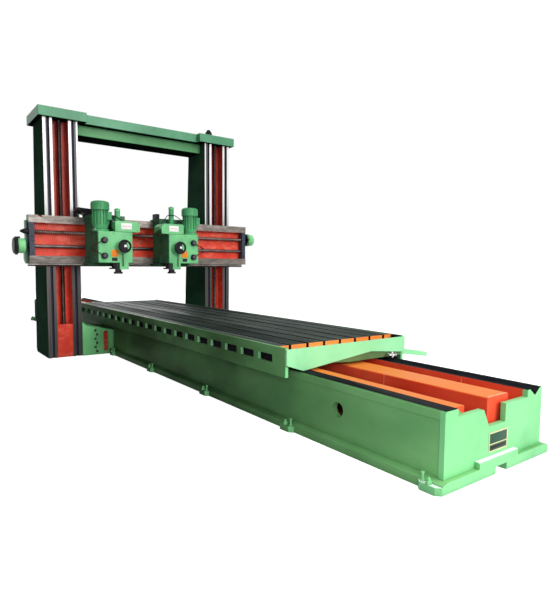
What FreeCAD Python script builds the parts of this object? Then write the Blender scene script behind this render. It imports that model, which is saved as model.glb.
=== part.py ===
import FreeCAD, Part
import math
import os

V = FreeCAD.Vector

# Gantry milling machine: a long bed with a travelling T-slot table, two columns under a
# crown, and a crossrail that carries two vertical milling heads.
# Frame: X runs along the crossrail, Y back along the bed, Z up. The origin is on the floor,
# midway between the columns, in the plane of their front guideways. Lengths in millimetres.

# Bed
bed_near_y = -6264.0
bed_end_thickness = 40.0
bed_way_half_width = 609.0
bed_web_from_side = 10.0
bed_web_thickness = 50.0
bed_way_z = 520.0
way_bar_bottom_z = 457.0
ledge_from_side = 259.0
ledge_z = 515.0
ledge_bevel = 4.0
flat_way_from_side = 12.0
flat_way_width = 127.0
flat_way_proud = 6.0
vee_bar_width = 212.0
vee_bar_bottom_z = 400.0
vee_from_side = 104.0
vee_half_width = 72.0
vee_depth = 55.0
bed_floor_height = 76.0
bed_flange_reach = 55.0
bed_flange_edge_height = 62.0
bed_flange_overhang = 38.0
centre_box_left_x = -35.0
centre_box_right_x = 235.0
centre_box_top_z = 512.0
centre_box_wall = 25.0
centre_box_corner = 12.0
centre_box_end_gap = 64.0
lifting_hole_radius = 60.0
lifting_hole_z = 300.0
lifting_hole_from_end = 994.0

# End walls of the bed
end_wall_top_z = 466.0
end_notch_left_x = -178.0
end_notch_right_x = 98.0
end_notch_bottom_z = 335.0
end_notch_slope = 71.0
end_notch_corner = 22.0
foot_pad_left_x = -263.0
foot_pad_right_x = 225.0
foot_pad_top_z = 122.0
foot_pad_bevel = 12.0
drain_left_x = -65.0
drain_right_x = 75.0
drain_height = 52.0
drain_depth = 150.0

# Anchor lugs along both sides of the bed
lug_count = 9
lug_pitch = 1500.0
lug_from_end = 56.0
lug_length = 188.0
lug_reach = 40.0
lug_height = 54.0
lug_hole_radius = 14.0
lug_corner = 34.0

# Wings that tie the bed to the columns
wing_front_y = -30.0
wing_back_y = 850.0
wing_column_z = 530.0
wing_shoulder_z = 450.0
wing_shoulder_reach = 88.0
wing_step_reach = 38.0
wing_step_height = 30.0
wing_joint_from_bed = 275.0
wing_joint_z = 440.0
wing_bed_z = 378.0
wing_joint_groove = 8.0
wing_pocket_from_bed = 81.0
wing_pocket_width = 78.0
wing_pocket_low_z = 49.0
wing_pocket_high_z = 370.0
wing_pocket_depth = 40.0
wing_pocket_corner = 34.0

# Columns
column_from_bed = 469.0
column_width = 491.0
column_top_z = 3554.0
column_back_top_y = 640.0
column_back_foot_y = 860.0
column_foot_bevel_z = 95.0
column_foot_bevel_y = 60.0
column_edge_radius = 22.0
guideway_width = 133.0
guideway_depth = 160.0
guideway_groove_from_edge = 55.0
guideway_groove_width = 36.0
guideway_groove_depth = 28.0
foot_panel_top_z = 505.0
foot_panel_y = 12.0
lift_screw_radius = 28.0
lift_screw_y = 88.0

# Crown
crown_overhang = 70.0
crown_height = 141.0
crown_front_y = -61.5
crown_back_y = 724.0
crown_step_from_column = 126.0
crown_step_back = 112.0
crown_edge = 8.0
tie_beam_front_y = 180.0
tie_beam_back_y = 620.0
tie_beam_height = 154.0
crown_cap_from_end = 316.0
crown_cap_y = 308.0
crown_cap_radius = 62.0
crown_cap_height = 118.0
crown_cap_dome = 58.0
crown_cap_top_radius = 26.0
crown_cap_flange_radius = 84.0
crown_cap_flange_height = 22.0

# Table
table_near_y = -4649.0
table_length = 5900.0
skirt_from_bed = 111.0
table_top_z = 734.0
skirt_thickness = 30.0
skirt_bottom_z = 482.0
t_slot_count = 7
t_slot_from_side = 150.0
t_slot_width = 28.0
t_slot_wide = 46.0
t_slot_neck = 36.0
t_slot_depth = 56.0
table_slab_bottom_z = 655.0
window_count = 20
window_from_end = 166.5
window_length = 218.0
window_low_z = 587.0
window_high_z = 657.0
window_corner = 9.0
flat_slide_inner_shy = 10.0
flat_slide_outer_shy = 5.0
vee_slide_half_width = 88.0
vee_slide_shy = 4.0
vee_slide_rise = 1.0
vee_slide_step = 6.0
way_gap = 0.5

# Coolant troughs on the ends of the table
trough_length = 154.0
trough_plate = 20.0
trough_rim_z = 724.0
trough_floor_z = 640.0
trough_floor_thickness = 15.0
trough_outer_left_z = 588.0
trough_tip_from_side = 182.0
trough_tip_z = 526.0
trough_crest_from_side = 483.0
trough_crest_z = 618.0
trough_outer_right_z = 570.0
trough_apron_from_side = 420.0
trough_apron_left_z = 566.0
trough_apron_mid_x = 0.0
trough_apron_mid_z = 540.0
trough_apron_thickness = 10.0
spout_reach = 396.0
spout_width = 92.0
spout_depth = 48.0
spout_wall = 6.0
spout_root_z = 591.0
spout_drop = 63.0
spout_from_plate = 24.0

# Crossrail
rail_overhang = 253.0
rail_front_y = -171.0
rail_back_y = -0.5
rail_web_front_y = -40.0
rail_bottom_z = 1435.0
rail_lower_way_z = 1538.0
rail_upper_way_z = 2011.0
rail_top_z = 2120.0
rail_foot_z = 1388.0
way_notch_from_end = 127.0
way_notch_width = 53.0
way_notch_depth = 24.0
rail_belly_from_column = 18.0
rail_belly_taper = 300.0
rail_belly_depth = 230.0
rail_belly_shoulder = 150.0
rail_belly_low_z = 1500.0
rail_belly_high_z = 2056.0
rail_end_plate = 68.0
rail_end_inset = 4.0
feed_shaft_radius = 25.0
feed_shaft_y = -108.0
upper_shaft_z = 1884.0
lower_shaft_z = 1676.0
rail_nut_width = 150.0
rail_nut_height = 190.0
rail_nut_back_y = 148.0
rail_nut_z = 1780.0
lift_screw_gap = 1.0

# Rail ends
gear_cover_thickness = 23.0
gear_cover_front_y = -66.0
gear_cover_back_y = 45.0
gear_cover_top_z = 2045.0
gear_cover_bottom_z = 1424.0
gear_case_thickness = 42.0
gear_case_top_z = 1790.0
gear_case_bottom_z = 1488.0
gear_case_slope = 48.0
left_drum_radius = 106.0
left_drum_length = 103.0
left_drum_bevel = 16.0
left_disc_radius = 129.0
left_disc_length = 50.0
left_disc_bevel = 26.0
dial_neck_radius = 24.0
dial_neck_length = 49.0
shaft_collar_radius = 38.0
shaft_collar_length = 56.0
shaft_tip_radius = 13.0
shaft_tip_length = 54.0
right_disc_radius = 112.0
right_disc_from_rail = 22.0
right_disc_length = 74.0
right_drum_radius = 100.0
right_drum_length = 92.0
right_drum_bevel = 26.0
right_tip_length = 32.0

# Milling heads, in each head's own frame: u is measured from the head's centre line
# towards the other head
left_head_x = -791.0
right_head_x = 290.0
saddle_half_width = 262.0
saddle_front_y = -430.0
saddle_top_z = 2150.0
saddle_bottom_z = 1400.0
saddle_lip_back_y = -60.0
bracket_front_y = -300.0
bracket_inner_u = -72.0
bracket_root_u = -252.0
bracket_tip_u = -380.0
bracket_crest_u = -112.0
bracket_tip_low_z = 2212.0
bracket_tip_high_z = 2254.0
bracket_crest_z = 2234.0
oil_box_width = 60.0
oil_box_height = 84.0
oil_box_back_y = -160.0
housing_half_width = 256.0
housing_front_y = -761.0
housing_bottom_z = 1442.0
housing_top_z = 1897.0
housing_corner = 16.0
ear_reach_u = 368.0
ear_top_z = 2050.0
ear_back_y = -480.0
ear_corner = 16.0
ear_end_bevel = 44.0
ear_plug_radius = 13.0
ear_plug_length = 18.0
ear_plug_z = 1982.0
ear_plug_y = -722.0
spindle_u = 109.0
spindle_y = -540.0
draw_tube_radius = 40.0
left_draw_tube_top_z = 2242.0
right_draw_tube_top_z = 2328.0
foot_inner_u = 57.0
foot_outer_u = 188.0
foot_back_y = -700.0
foot_bottom_z = 1350.0
depth_slot_u = 104.0
depth_slot_width = 9.0
depth_slot_low_z = 1411.0
depth_slot_high_z = 1579.0
depth_slot_depth = 20.0
quill_radius = 95.0
quill_gap = 0.3
quill_bore_depth = 262.0
quill_length = 318.0
quill_flange_radius = 130.0
quill_flange_z = 1352.0
quill_flange_height = 20.0
nose_radius = 64.285
nose_neck_radius = 46.0
nose_neck_slope = 10.0
nose_bottom_z = 1283.0
nose_flange_height = 24.0
nose_taper_radius = 34.925
nose_taper_depth = 60.0
nose_taper_end_radius = 26.2
nose_bolt_circle = 101.6
nose_bolt_count = 4
nose_bolt_turn = 45.0
nose_bolt_radius = 7.0
nose_bolt_depth = 20.0

# Drive motors
motor_u = -171.0
motor_y = -626.0
motor_foot_radius = 116.0
motor_foot_height = 26.0
motor_bell_radius = 106.0
motor_bell_height = 64.0
motor_bell_waist = 14.0
motor_core_radius = 98.0
motor_core_height = 214.0
motor_fin_count = 16
motor_fin_reach = 17.0
motor_fin_thickness = 8.0
motor_fin_root = 5.0
motor_cowl_radius = 130.0
motor_cowl_height = 124.0
motor_cowl_bevel = 34.0
motor_cowl_edge = 10.0
motor_turn = 11.25
terminal_box_reach = 62.0
terminal_box_width = 104.0
terminal_box_height = 112.0
terminal_box_z = 2062.0
terminal_box_corner = 12.0
terminal_box_turn = -25.0

# Leads from the motors, held by the housings all the way
lead_radius = 6.0
lead_bend = 40.0
lead_from_tube = 7.0
left_lead_z = 2136.0
left_lead_from_motor = 125.0
left_lead_high_u = 56.0
left_lead_rest_u = 181.0
left_lead_end_u = 305.0
right_lead_z = 2128.0
right_lead_turn_u = -25.0
right_lead_rise_u = 75.0
right_lead_crest_z = 2200.0
right_lead_fall_u = 185.0
right_lead_end_u = 308.0
right_lead_end_rise = 4.5

# Controls on the front of the heads
knob_u = -163.0
knob_radius = 44.0
knob_length = 40.0
knob_bevel = 8.0
upper_knob_z = 1768.0
lower_knob_z = 1545.0
lever_radius = 6.0
lever_reach = 168.0
lever_drop = 84.0
lever_grip_radius = 9.5
lever_grip_length = 42.0
handwheel_u = 104.0
handwheel_z = 1685.0
handwheel_y = -855.0
handwheel_radius = 95.0
handwheel_rim_width = 22.0
handwheel_rim_depth = 20.0
handwheel_rim_bevel = 5.0
handwheel_hub_radius = 26.0
handwheel_hub_length = 34.0
handwheel_spoke_width = 26.0
handwheel_spoke_taper = 4.0
handwheel_spoke_root = 1.0
handwheel_spoke_depth = 9.0
handwheel_spoke_count = 3
handwheel_spoke_turn = 70.0
handwheel_shaft_radius = 13.0
seat_gap = 0.3

# Values that follow from the sizes above
bed_web_outer = bed_way_half_width - bed_web_from_side
ledge_inner_x = bed_way_half_width - ledge_from_side
flat_way_outer_x = bed_way_half_width - flat_way_from_side
flat_way_inner_x = flat_way_outer_x - flat_way_width
vee_bar_inner_x = bed_way_half_width - vee_bar_width
vee_centre_x = bed_way_half_width - vee_from_side
bed_flange_half_width = bed_way_half_width + bed_flange_reach
wing_joint_x = bed_web_outer + wing_joint_from_bed
wing_pocket_inner_x = bed_web_outer + wing_pocket_from_bed
wing_pocket_outer_x = wing_pocket_inner_x + wing_pocket_width
column_inner_x = bed_way_half_width + column_from_bed
column_outer_x = column_inner_x + column_width
crown_half_length = column_outer_x + crown_overhang
crown_step_x = column_inner_x - crown_step_from_column
crown_cap_x = crown_half_length - crown_cap_from_end
crown_bottom_z = column_top_z
bed_length = (lug_count - 1) * lug_pitch + 2.0 * lug_from_end
bed_far_y = bed_near_y + bed_length
bed_inner_near_y = bed_near_y + bed_end_thickness
bed_inner_far_y = bed_far_y - bed_end_thickness
crown_top_z = crown_bottom_z + crown_height
table_far_y = table_near_y + table_length
table_mid_y = (table_near_y + table_far_y) / 2.0
skirt_inner_x = bed_way_half_width + skirt_from_bed
table_half_width = skirt_inner_x + skirt_thickness
window_pitch = (table_length - 2.0 * window_from_end) / (window_count - 1)
flat_slide_inner_x = flat_way_inner_x + flat_slide_inner_shy
flat_slide_outer_x = flat_way_outer_x - flat_slide_outer_shy
trough_tip_x = trough_tip_from_side - table_half_width
trough_crest_x = table_half_width - trough_crest_from_side
trough_apron_left_x = trough_apron_from_side - table_half_width
t_slot_bottom_z = table_top_z - t_slot_depth
screw_x = (column_inner_x + column_outer_x) / 2.0
rail_half_length = column_outer_x + rail_overhang
t_slot_pitch = (table_half_width - t_slot_from_side) * 2.0 / (t_slot_count - 1)
rail_shaft_end_x = rail_half_length - rail_end_inset - rail_end_plate
rail_belly_half_length = column_inner_x - rail_belly_from_column
rail_belly_flat_half_length = rail_belly_half_length - rail_belly_taper


def block(x0, x1, y0, y1, z0, z1):
    """A rectangular block between two corners."""
    size = V(x1 - x0, y1 - y0, z1 - z0)
    return Part.makeBox(size.x, size.y, size.z, V(x0, y0, z0))


def closed_face(points):
    """A flat face bounded by straight lines through the points."""
    return Part.Face(Part.makePolygon(points + [points[0]]))


def prism_along_y(outline, y0, y1):
    """An outline of (x, z) points carried along Y."""
    face = closed_face([V(x, y0, z) for x, z in outline])
    return face.extrude(V(0, y1 - y0, 0))


def prism_along_x(outline, x0, x1):
    """An outline of (y, z) points carried along X."""
    face = closed_face([V(x0, y, z) for y, z in outline])
    return face.extrude(V(x1 - x0, 0, 0))


def prism_along_z(outline, z0, z1):
    """An outline of (x, y) points carried along Z."""
    face = closed_face([V(x, y, z0) for x, y in outline])
    return face.extrude(V(0, 0, z1 - z0))


def round_bar(radius, start, end):
    """A round bar from one point to another."""
    run = end.sub(start)
    return Part.makeCylinder(radius, run.Length, start, run)


def turned(profile, centre):
    """A body of revolution about a vertical axis, from (radius, z) points."""
    face = closed_face([V(centre.x + r, centre.y, z) for r, z in profile])
    return face.revolve(centre, V(0, 0, 1), 360)


def turned_along(profile, centre, axis, outward):
    """A body of revolution about an axis, from (distance along it, radius) points."""
    points = [centre.add(axis * along).add(outward * radius) for along, radius in profile]
    return closed_face(points).revolve(centre, axis, 360)


def cut_corners(left, right, low, high, cut):
    """The outline of a rectangle with its four corners cut off."""
    return [(left + cut, low), (right - cut, low), (right, low + cut), (right, high - cut),
            (right - cut, high), (left + cut, high), (left, high - cut), (left, low + cut)]


def bent_rod(points, bend, radius):
    """A round rod along straight runs that meet in arcs of one bend radius."""
    edges = []
    start = points[0]
    for before, corner, after in zip(points, points[1:], points[2:]):
        back = before.sub(corner).normalize()
        ahead = after.sub(corner).normalize()
        half = back.getAngle(ahead) / 2.0
        reach = bend / math.tan(half)
        enter = corner.add(back * reach)
        leave = corner.add(ahead * reach)
        towards = back.add(ahead).normalize()
        middle = corner.add(towards * (bend / math.sin(half) - bend))
        edges.append(Part.LineSegment(start, enter).toShape())
        edges.append(Part.Arc(enter, middle, leave).toShape())
        start = leave
    edges.append(Part.LineSegment(start, points[-1]).toShape())
    path = Part.Wire(edges)
    ring = Part.Wire(Part.Circle(points[0], points[1].sub(points[0]), radius).toShape())
    return path.makePipeShell([ring], True, True)


def mirrored_x(shape):
    """The same shape on the other side of the machine's middle plane."""
    return shape.mirror(V(0, 0, 0), V(1, 0, 0))


def rounded_edges(shape, radius, wanted):
    """Round the edges whose middle point the test picks."""
    picked = [e for e in shape.Edges if wanted(e.CenterOfMass, e)]
    return shape.makeFillet(radius, picked)


def runs_along(edge, axis):
    """Whether an edge is straight and parallel to an axis."""
    run = edge.Vertexes[-1].Point.sub(edge.Vertexes[0].Point)
    return run.Length > 1.0 and abs(abs(run.dot(axis)) - run.Length) < 0.01


def write_node(name, shape):
    """Write one named piece as its own file."""
    shape.exportStep(os.path.join("parts", name + ".step"))


# Bed

def left_bed_wall():
    """The upright wall of the bed's left side, with a lifting hole near each end."""
    web = block(-bed_web_outer, -bed_web_outer + bed_web_thickness,
                bed_inner_near_y, bed_inner_far_y, bed_floor_height, way_bar_bottom_z)
    for y in (bed_near_y + lifting_hole_from_end, bed_far_y - lifting_hole_from_end):
        hole = Part.makeCylinder(lifting_hole_radius, bed_web_thickness * 3.0,
                                 V(-bed_web_outer - bed_web_thickness, y, lifting_hole_z), V(1, 0, 0))
        web = web.cut(hole)
    return web


def bed_side_walls():
    """Both walls: the right one stops lower, under the deeper bar of the vee way."""
    left = left_bed_wall()
    top = block(0.0, bed_way_half_width, bed_near_y, bed_far_y, vee_bar_bottom_z, bed_way_z)
    return Part.makeCompound([left, mirrored_x(left).cut(top)])


def flat_way_bar():
    """The left bar: the flat guideway outside and the painted oil ledge inside."""
    seat = bed_way_z - flat_way_proud
    outline = [(-bed_way_half_width, way_bar_bottom_z), (-ledge_inner_x, way_bar_bottom_z),
               (-ledge_inner_x, ledge_z - ledge_bevel), (-ledge_inner_x - ledge_bevel, ledge_z),
               (-flat_way_inner_x, ledge_z), (-flat_way_inner_x, bed_way_z),
               (-flat_way_outer_x, bed_way_z), (-flat_way_outer_x, seat),
               (-bed_way_half_width, seat)]
    return prism_along_y(outline, bed_inner_near_y, bed_inner_far_y)


def vee_way_bar():
    """The right bar with the vee groove that guides the table."""
    vee_left = vee_centre_x - vee_half_width
    vee_right = vee_centre_x + vee_half_width
    outline = [(vee_bar_inner_x, vee_bar_bottom_z), (bed_way_half_width, vee_bar_bottom_z),
               (bed_way_half_width, bed_way_z), (vee_right, bed_way_z),
               (vee_centre_x, bed_way_z - vee_depth), (vee_left, bed_way_z),
               (vee_bar_inner_x, bed_way_z)]
    return prism_along_y(outline, bed_inner_near_y, bed_inner_far_y)


def lug_places():
    """The lugs' places along the bed, evenly spaced from end to end."""
    first = bed_near_y + lug_from_end
    return [first + i * lug_pitch for i in range(lug_count)]


def bed_floor():
    """The bed's base with its flange, anchor lugs and the drain notches at the ends."""
    outline = [(-bed_flange_half_width, 0.0), (bed_flange_half_width, 0.0),
               (bed_flange_half_width, bed_flange_edge_height), (bed_web_outer, bed_floor_height),
               (-bed_web_outer, bed_floor_height), (-bed_flange_half_width, bed_flange_edge_height)]
    near = bed_near_y - bed_flange_overhang
    far = bed_far_y + bed_flange_overhang
    floor = prism_along_y(outline, near, far)
    for y in lug_places():
        low = max(y - lug_length / 2.0, near)
        high = min(y + lug_length / 2.0, far)
        outer_x = bed_flange_half_width + lug_reach
        lug = prism_along_z(cut_corners(-outer_x, outer_x, low, high, lug_corner), 0.0, lug_height)
        floor = floor.fuse(lug)
    floor = floor.removeSplitter()
    for y in lug_places():
        for side in (-1.0, 1.0):
            x = side * (bed_flange_half_width + lug_reach / 2.0)
            floor = floor.cut(Part.makeCylinder(lug_hole_radius, bed_floor_height * 2.0,
                                                V(x, y, -bed_floor_height / 2.0)))
    for start in (near, far - drain_depth):
        floor = floor.cut(block(drain_left_x, drain_right_x, start, start + drain_depth,
                                0.0, drain_height))
    return floor


def centre_box():
    """The closed box along the middle of the bed that houses the table drive."""
    near = bed_near_y + centre_box_end_gap
    far = bed_far_y - centre_box_end_gap
    outer = block(centre_box_left_x, centre_box_right_x, near, far, bed_floor_height, centre_box_top_z)
    outer = rounded_edges(outer, centre_box_corner,
                          lambda c, e: c.z > centre_box_top_z - 1.0 and runs_along(e, V(0, 1, 0)))
    inner = block(centre_box_left_x + centre_box_wall, centre_box_right_x - centre_box_wall,
                  near + centre_box_wall, far - centre_box_wall,
                  bed_floor_height - centre_box_wall, centre_box_top_z - centre_box_wall)
    return outer.cut(inner)


def near_end_wall():
    """The end casting: way ends, the notch in its top edge, and the thick foot pad."""
    seat = bed_way_z - flat_way_proud
    outline = [(-bed_way_half_width, bed_floor_height), (-bed_way_half_width, seat),
               (-flat_way_outer_x, seat), (-flat_way_outer_x, bed_way_z),
               (-flat_way_inner_x, bed_way_z), (-flat_way_inner_x, end_wall_top_z),
               (end_notch_left_x, end_wall_top_z),
               (end_notch_left_x + end_notch_slope, end_notch_bottom_z),
               (end_notch_right_x, end_notch_bottom_z), (end_notch_right_x, end_wall_top_z),
               (vee_bar_inner_x, end_wall_top_z), (vee_bar_inner_x, bed_way_z),
               (vee_centre_x - vee_half_width, bed_way_z), (vee_centre_x, bed_way_z - vee_depth),
               (vee_centre_x + vee_half_width, bed_way_z), (bed_way_half_width, bed_way_z),
               (bed_way_half_width, bed_floor_height)]
    wall = prism_along_y(outline, bed_near_y, bed_inner_near_y)
    wall = rounded_edges(wall, end_notch_corner, lambda c, e: runs_along(e, V(0, 1, 0))
                         and abs(c.x - end_notch_left_x) < 1.0 and abs(c.z - end_wall_top_z) < 1.0)
    front = bed_near_y - bed_flange_overhang
    pad = block(foot_pad_left_x, foot_pad_right_x, front, bed_near_y,
                bed_floor_height, foot_pad_top_z)
    pad = rounded_edges(pad, foot_pad_bevel,
                        lambda c, e: c.y < front + 1.0 and c.z > foot_pad_top_z - 1.0)
    return wall.fuse(pad).removeSplitter()


def bed_end_walls():
    """The end casting at the near end and its mirror image at the far end."""
    near = near_end_wall()
    middle = bed_near_y + bed_length / 2.0
    return Part.makeCompound([near, near.mirror(V(0, middle, 0), V(0, 1, 0))])


def left_wing():
    """The wing that bolts the bed to the left column, with its joint and front pocket."""
    outline = [(-column_inner_x, 0.0), (-column_inner_x, wing_column_z),
               (-column_inner_x + wing_step_reach, wing_shoulder_z + wing_step_height),
               (-column_inner_x + wing_shoulder_reach, wing_shoulder_z),
               (-wing_joint_x, wing_joint_z),
               (-bed_web_outer, wing_bed_z), (-bed_web_outer, bed_floor_height),
               (-bed_flange_half_width, bed_floor_height), (-bed_flange_half_width, 0.0)]
    wing = prism_along_y(outline, wing_front_y, wing_back_y)
    groove = block(-wing_joint_x - wing_joint_groove / 2.0, -wing_joint_x + wing_joint_groove / 2.0,
                   wing_front_y, wing_front_y + wing_joint_groove, 0.0, wing_column_z)
    pocket = block(-wing_pocket_outer_x, -wing_pocket_inner_x, wing_front_y,
                   wing_front_y + wing_pocket_depth, wing_pocket_low_z, wing_pocket_high_z)
    pocket = rounded_edges(pocket, wing_pocket_corner, lambda c, e: runs_along(e, V(0, 1, 0)))
    return wing.cut(groove).cut(pocket)


# Columns and crown

def left_column():
    """The column's box behind its guideways: tapered at the back, bevelled at its foot."""
    outline = [(guideway_depth, 0.0), (column_back_foot_y - column_foot_bevel_y, 0.0),
               (column_back_foot_y, column_foot_bevel_z), (column_back_top_y, column_top_z),
               (guideway_depth, column_top_z)]
    box = prism_along_x(outline, -column_outer_x, -column_inner_x)
    box = rounded_edges(box, column_edge_radius,
                        lambda c, e: c.y > column_back_top_y and column_foot_bevel_z < c.z < column_top_z
                        and e.Length > column_top_z / 2.0)
    panel = block(-column_outer_x + guideway_width, -column_inner_x - guideway_width,
                  foot_panel_y, guideway_depth, 0.0, foot_panel_top_z)
    return box.fuse(panel).removeSplitter()


def column_ways():
    """The two front guideways of each column, each with its long relief groove."""
    groove_start = guideway_groove_from_edge
    groove_end = guideway_groove_from_edge + guideway_groove_width
    outline = [(0.0, 0.0), (groove_start, 0.0), (groove_start, guideway_groove_depth),
               (groove_end, guideway_groove_depth), (groove_end, 0.0), (guideway_width, 0.0),
               (guideway_width, guideway_depth), (0.0, guideway_depth)]
    outer = prism_along_z([(-column_outer_x + s, y) for s, y in outline], 0.0, column_top_z)
    inner = prism_along_z([(-column_inner_x - s, y) for s, y in outline], 0.0, column_top_z)
    return Part.makeCompound([outer, inner, mirrored_x(outer), mirrored_x(inner)])


def lift_screws():
    """The two elevating screws, from the foot panels up to the crown."""
    screws = []
    for side in (-1.0, 1.0):
        screws.append(Part.makeCylinder(lift_screw_radius, crown_bottom_z - foot_panel_top_z,
                                        V(side * screw_x, lift_screw_y, foot_panel_top_z)))
    return Part.makeCompound(screws)


def column_caps():
    """The two end sections of the crown, over the columns."""
    cap = block(-crown_half_length, -crown_step_x, crown_front_y, crown_back_y,
                crown_bottom_z, crown_top_z)
    cap = rounded_edges(cap, crown_edge, lambda c, e: c.x < -crown_half_length + 1.0
                        or (c.y < crown_front_y + 1.0 and runs_along(e, V(1, 0, 0))))
    return Part.makeCompound([cap, mirrored_x(cap)])


def lift_gear_cap():
    """The domed cap of the lifting gear, on top of the right end of the crown."""
    shoulder = crown_top_z + crown_cap_height
    flange_top = crown_top_z + crown_cap_flange_height
    top = shoulder + crown_cap_dome
    profile = [(0.0, crown_top_z), (crown_cap_flange_radius, crown_top_z),
               (crown_cap_flange_radius, flange_top), (crown_cap_radius, flange_top),
               (crown_cap_radius, shoulder), (crown_cap_top_radius, top), (0.0, top)]
    return turned(profile, V(crown_cap_x, crown_cap_y, 0))


def crown_beam():
    """The middle of the crown, set back from its end sections."""
    beam = block(-crown_step_x, crown_step_x, crown_front_y + crown_step_back, crown_back_y,
                 crown_bottom_z, crown_top_z)
    return rounded_edges(beam, crown_edge, lambda c, e: runs_along(e, V(1, 0, 0))
                         and c.y < crown_front_y + crown_step_back + 1.0)


def tie_beam():
    """The beam between the columns, under the crown."""
    beam = block(-column_inner_x, column_inner_x, tie_beam_front_y, tie_beam_back_y,
                 crown_bottom_z - tie_beam_height, crown_bottom_z)
    return rounded_edges(beam, crown_edge, lambda c, e: runs_along(e, V(1, 0, 0))
                         and c.z < crown_bottom_z - tie_beam_height + 1.0)


# Table

def table_base():
    """The table's slab under the T-slots."""
    return block(-skirt_inner_x, skirt_inner_x, table_near_y, table_far_y,
                 table_slab_bottom_z, t_slot_bottom_z)


def table_lands():
    """The machined strips of the table top, with a T-slot between each two."""
    strips = []
    neck_z = table_top_z - t_slot_neck
    slots = [(i - (t_slot_count - 1) / 2.0) * t_slot_pitch for i in range(t_slot_count)]
    for i in range(t_slot_count + 1):
        left = slots[i - 1] + t_slot_width / 2.0 if i > 0 else -skirt_inner_x
        right = slots[i] - t_slot_width / 2.0 if i < t_slot_count else skirt_inner_x
        undercut = (t_slot_wide - t_slot_width) / 2.0
        low_left = left + undercut if i > 0 else left
        low_right = right - undercut if i < t_slot_count else right
        outline = [(low_left, t_slot_bottom_z), (low_right, t_slot_bottom_z), (low_right, neck_z),
                   (right, neck_z), (right, table_top_z), (left, table_top_z), (left, neck_z),
                   (low_left, neck_z)]
        clean = [p for n, p in enumerate(outline) if p != outline[n - 1]]
        strips.append(prism_along_y(clean, table_near_y, table_far_y))
    return Part.makeCompound(strips)


def window_places():
    """The windows' centres along the table, evenly spaced between its ends."""
    first = table_near_y + window_from_end
    return [first + i * window_pitch for i in range(window_count)]


def left_skirt():
    """The table's left side: a plate with a row of cored windows."""
    reach = trough_length - trough_plate
    skirt = block(-table_half_width, -skirt_inner_x, table_near_y - reach, table_far_y + reach,
                  skirt_bottom_z, table_top_z)
    cuts = []
    for y in window_places():
        outline = cut_corners(y - window_length / 2.0, y + window_length / 2.0,
                              window_low_z, window_high_z, window_corner)
        cuts.append(prism_along_x(outline, -table_half_width - 1.0, -skirt_inner_x + 1.0))
    return skirt.cut(Part.makeCompound(cuts))


def table_slides():
    """The table's flat slide on the left way and its vee slide in the right one."""
    flat = block(-flat_slide_outer_x, -flat_slide_inner_x, table_near_y, table_far_y,
                 bed_way_z + way_gap, table_slab_bottom_z)
    rise = bed_way_z + way_gap
    reach = vee_half_width - vee_slide_shy
    tip = rise - vee_depth * reach / vee_half_width
    left = vee_centre_x - vee_slide_half_width
    right = vee_centre_x + vee_slide_half_width
    outline = [(left, table_slab_bottom_z), (left, rise + vee_slide_step),
               (vee_centre_x - reach, rise + vee_slide_step),
               (vee_centre_x - reach, rise + vee_slide_rise), (vee_centre_x, tip),
               (vee_centre_x + reach, rise + vee_slide_rise),
               (vee_centre_x + reach, rise + vee_slide_step), (right, rise + vee_slide_step),
               (right, table_slab_bottom_z)]
    vee = prism_along_y(outline, table_near_y, table_far_y)
    return Part.makeCompound([flat, vee])


def near_trough():
    """The coolant trough: a floor, a deep front plate with a bent lower edge, and an apron."""
    front = table_near_y - trough_length
    back = front + trough_plate
    outline = [(-table_half_width, trough_rim_z), (-table_half_width, trough_outer_left_z),
               (trough_tip_x, trough_tip_z), (trough_crest_x, trough_crest_z),
               (table_half_width, trough_outer_right_z), (table_half_width, trough_rim_z)]
    plate = prism_along_y(outline, front, back)
    apron = prism_along_y([(trough_apron_left_x, trough_floor_z),
                           (trough_apron_left_x, trough_apron_left_z),
                           (trough_apron_mid_x, trough_apron_mid_z),
                           (skirt_inner_x, trough_apron_mid_z), (skirt_inner_x, trough_floor_z)],
                          back, back + trough_apron_thickness)
    floor = block(-skirt_inner_x, skirt_inner_x, back, table_near_y,
                  trough_floor_z, trough_floor_z + trough_floor_thickness)
    return plate.fuse([floor, apron]).removeSplitter()


def far_trough():
    """The same trough on the other end of the table."""
    return near_trough().mirror(V(0, table_mid_y, 0), V(0, 1, 0))


def drain_spout():
    """The open spout that leads coolant off the near trough to the right."""
    y0 = table_near_y - trough_length + spout_from_plate
    y1 = y0 + spout_width
    root = table_half_width
    outer = [(root, spout_root_z), (root, spout_root_z - spout_depth),
             (root + spout_reach, spout_root_z - spout_depth - spout_drop),
             (root + spout_reach, spout_root_z - spout_drop)]
    inner = [(root + spout_wall, spout_root_z + 1.0),
             (root + spout_wall, spout_root_z - spout_depth + spout_wall),
             (root + spout_reach + 1.0, spout_root_z - spout_depth - spout_drop + spout_wall),
             (root + spout_reach + 1.0, spout_root_z - spout_drop + 1.0)]
    channel = prism_along_y(outer, y0, y1)
    return channel.cut(prism_along_y(inner, y0 + spout_wall, y1 - spout_wall))


# Crossrail

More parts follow.
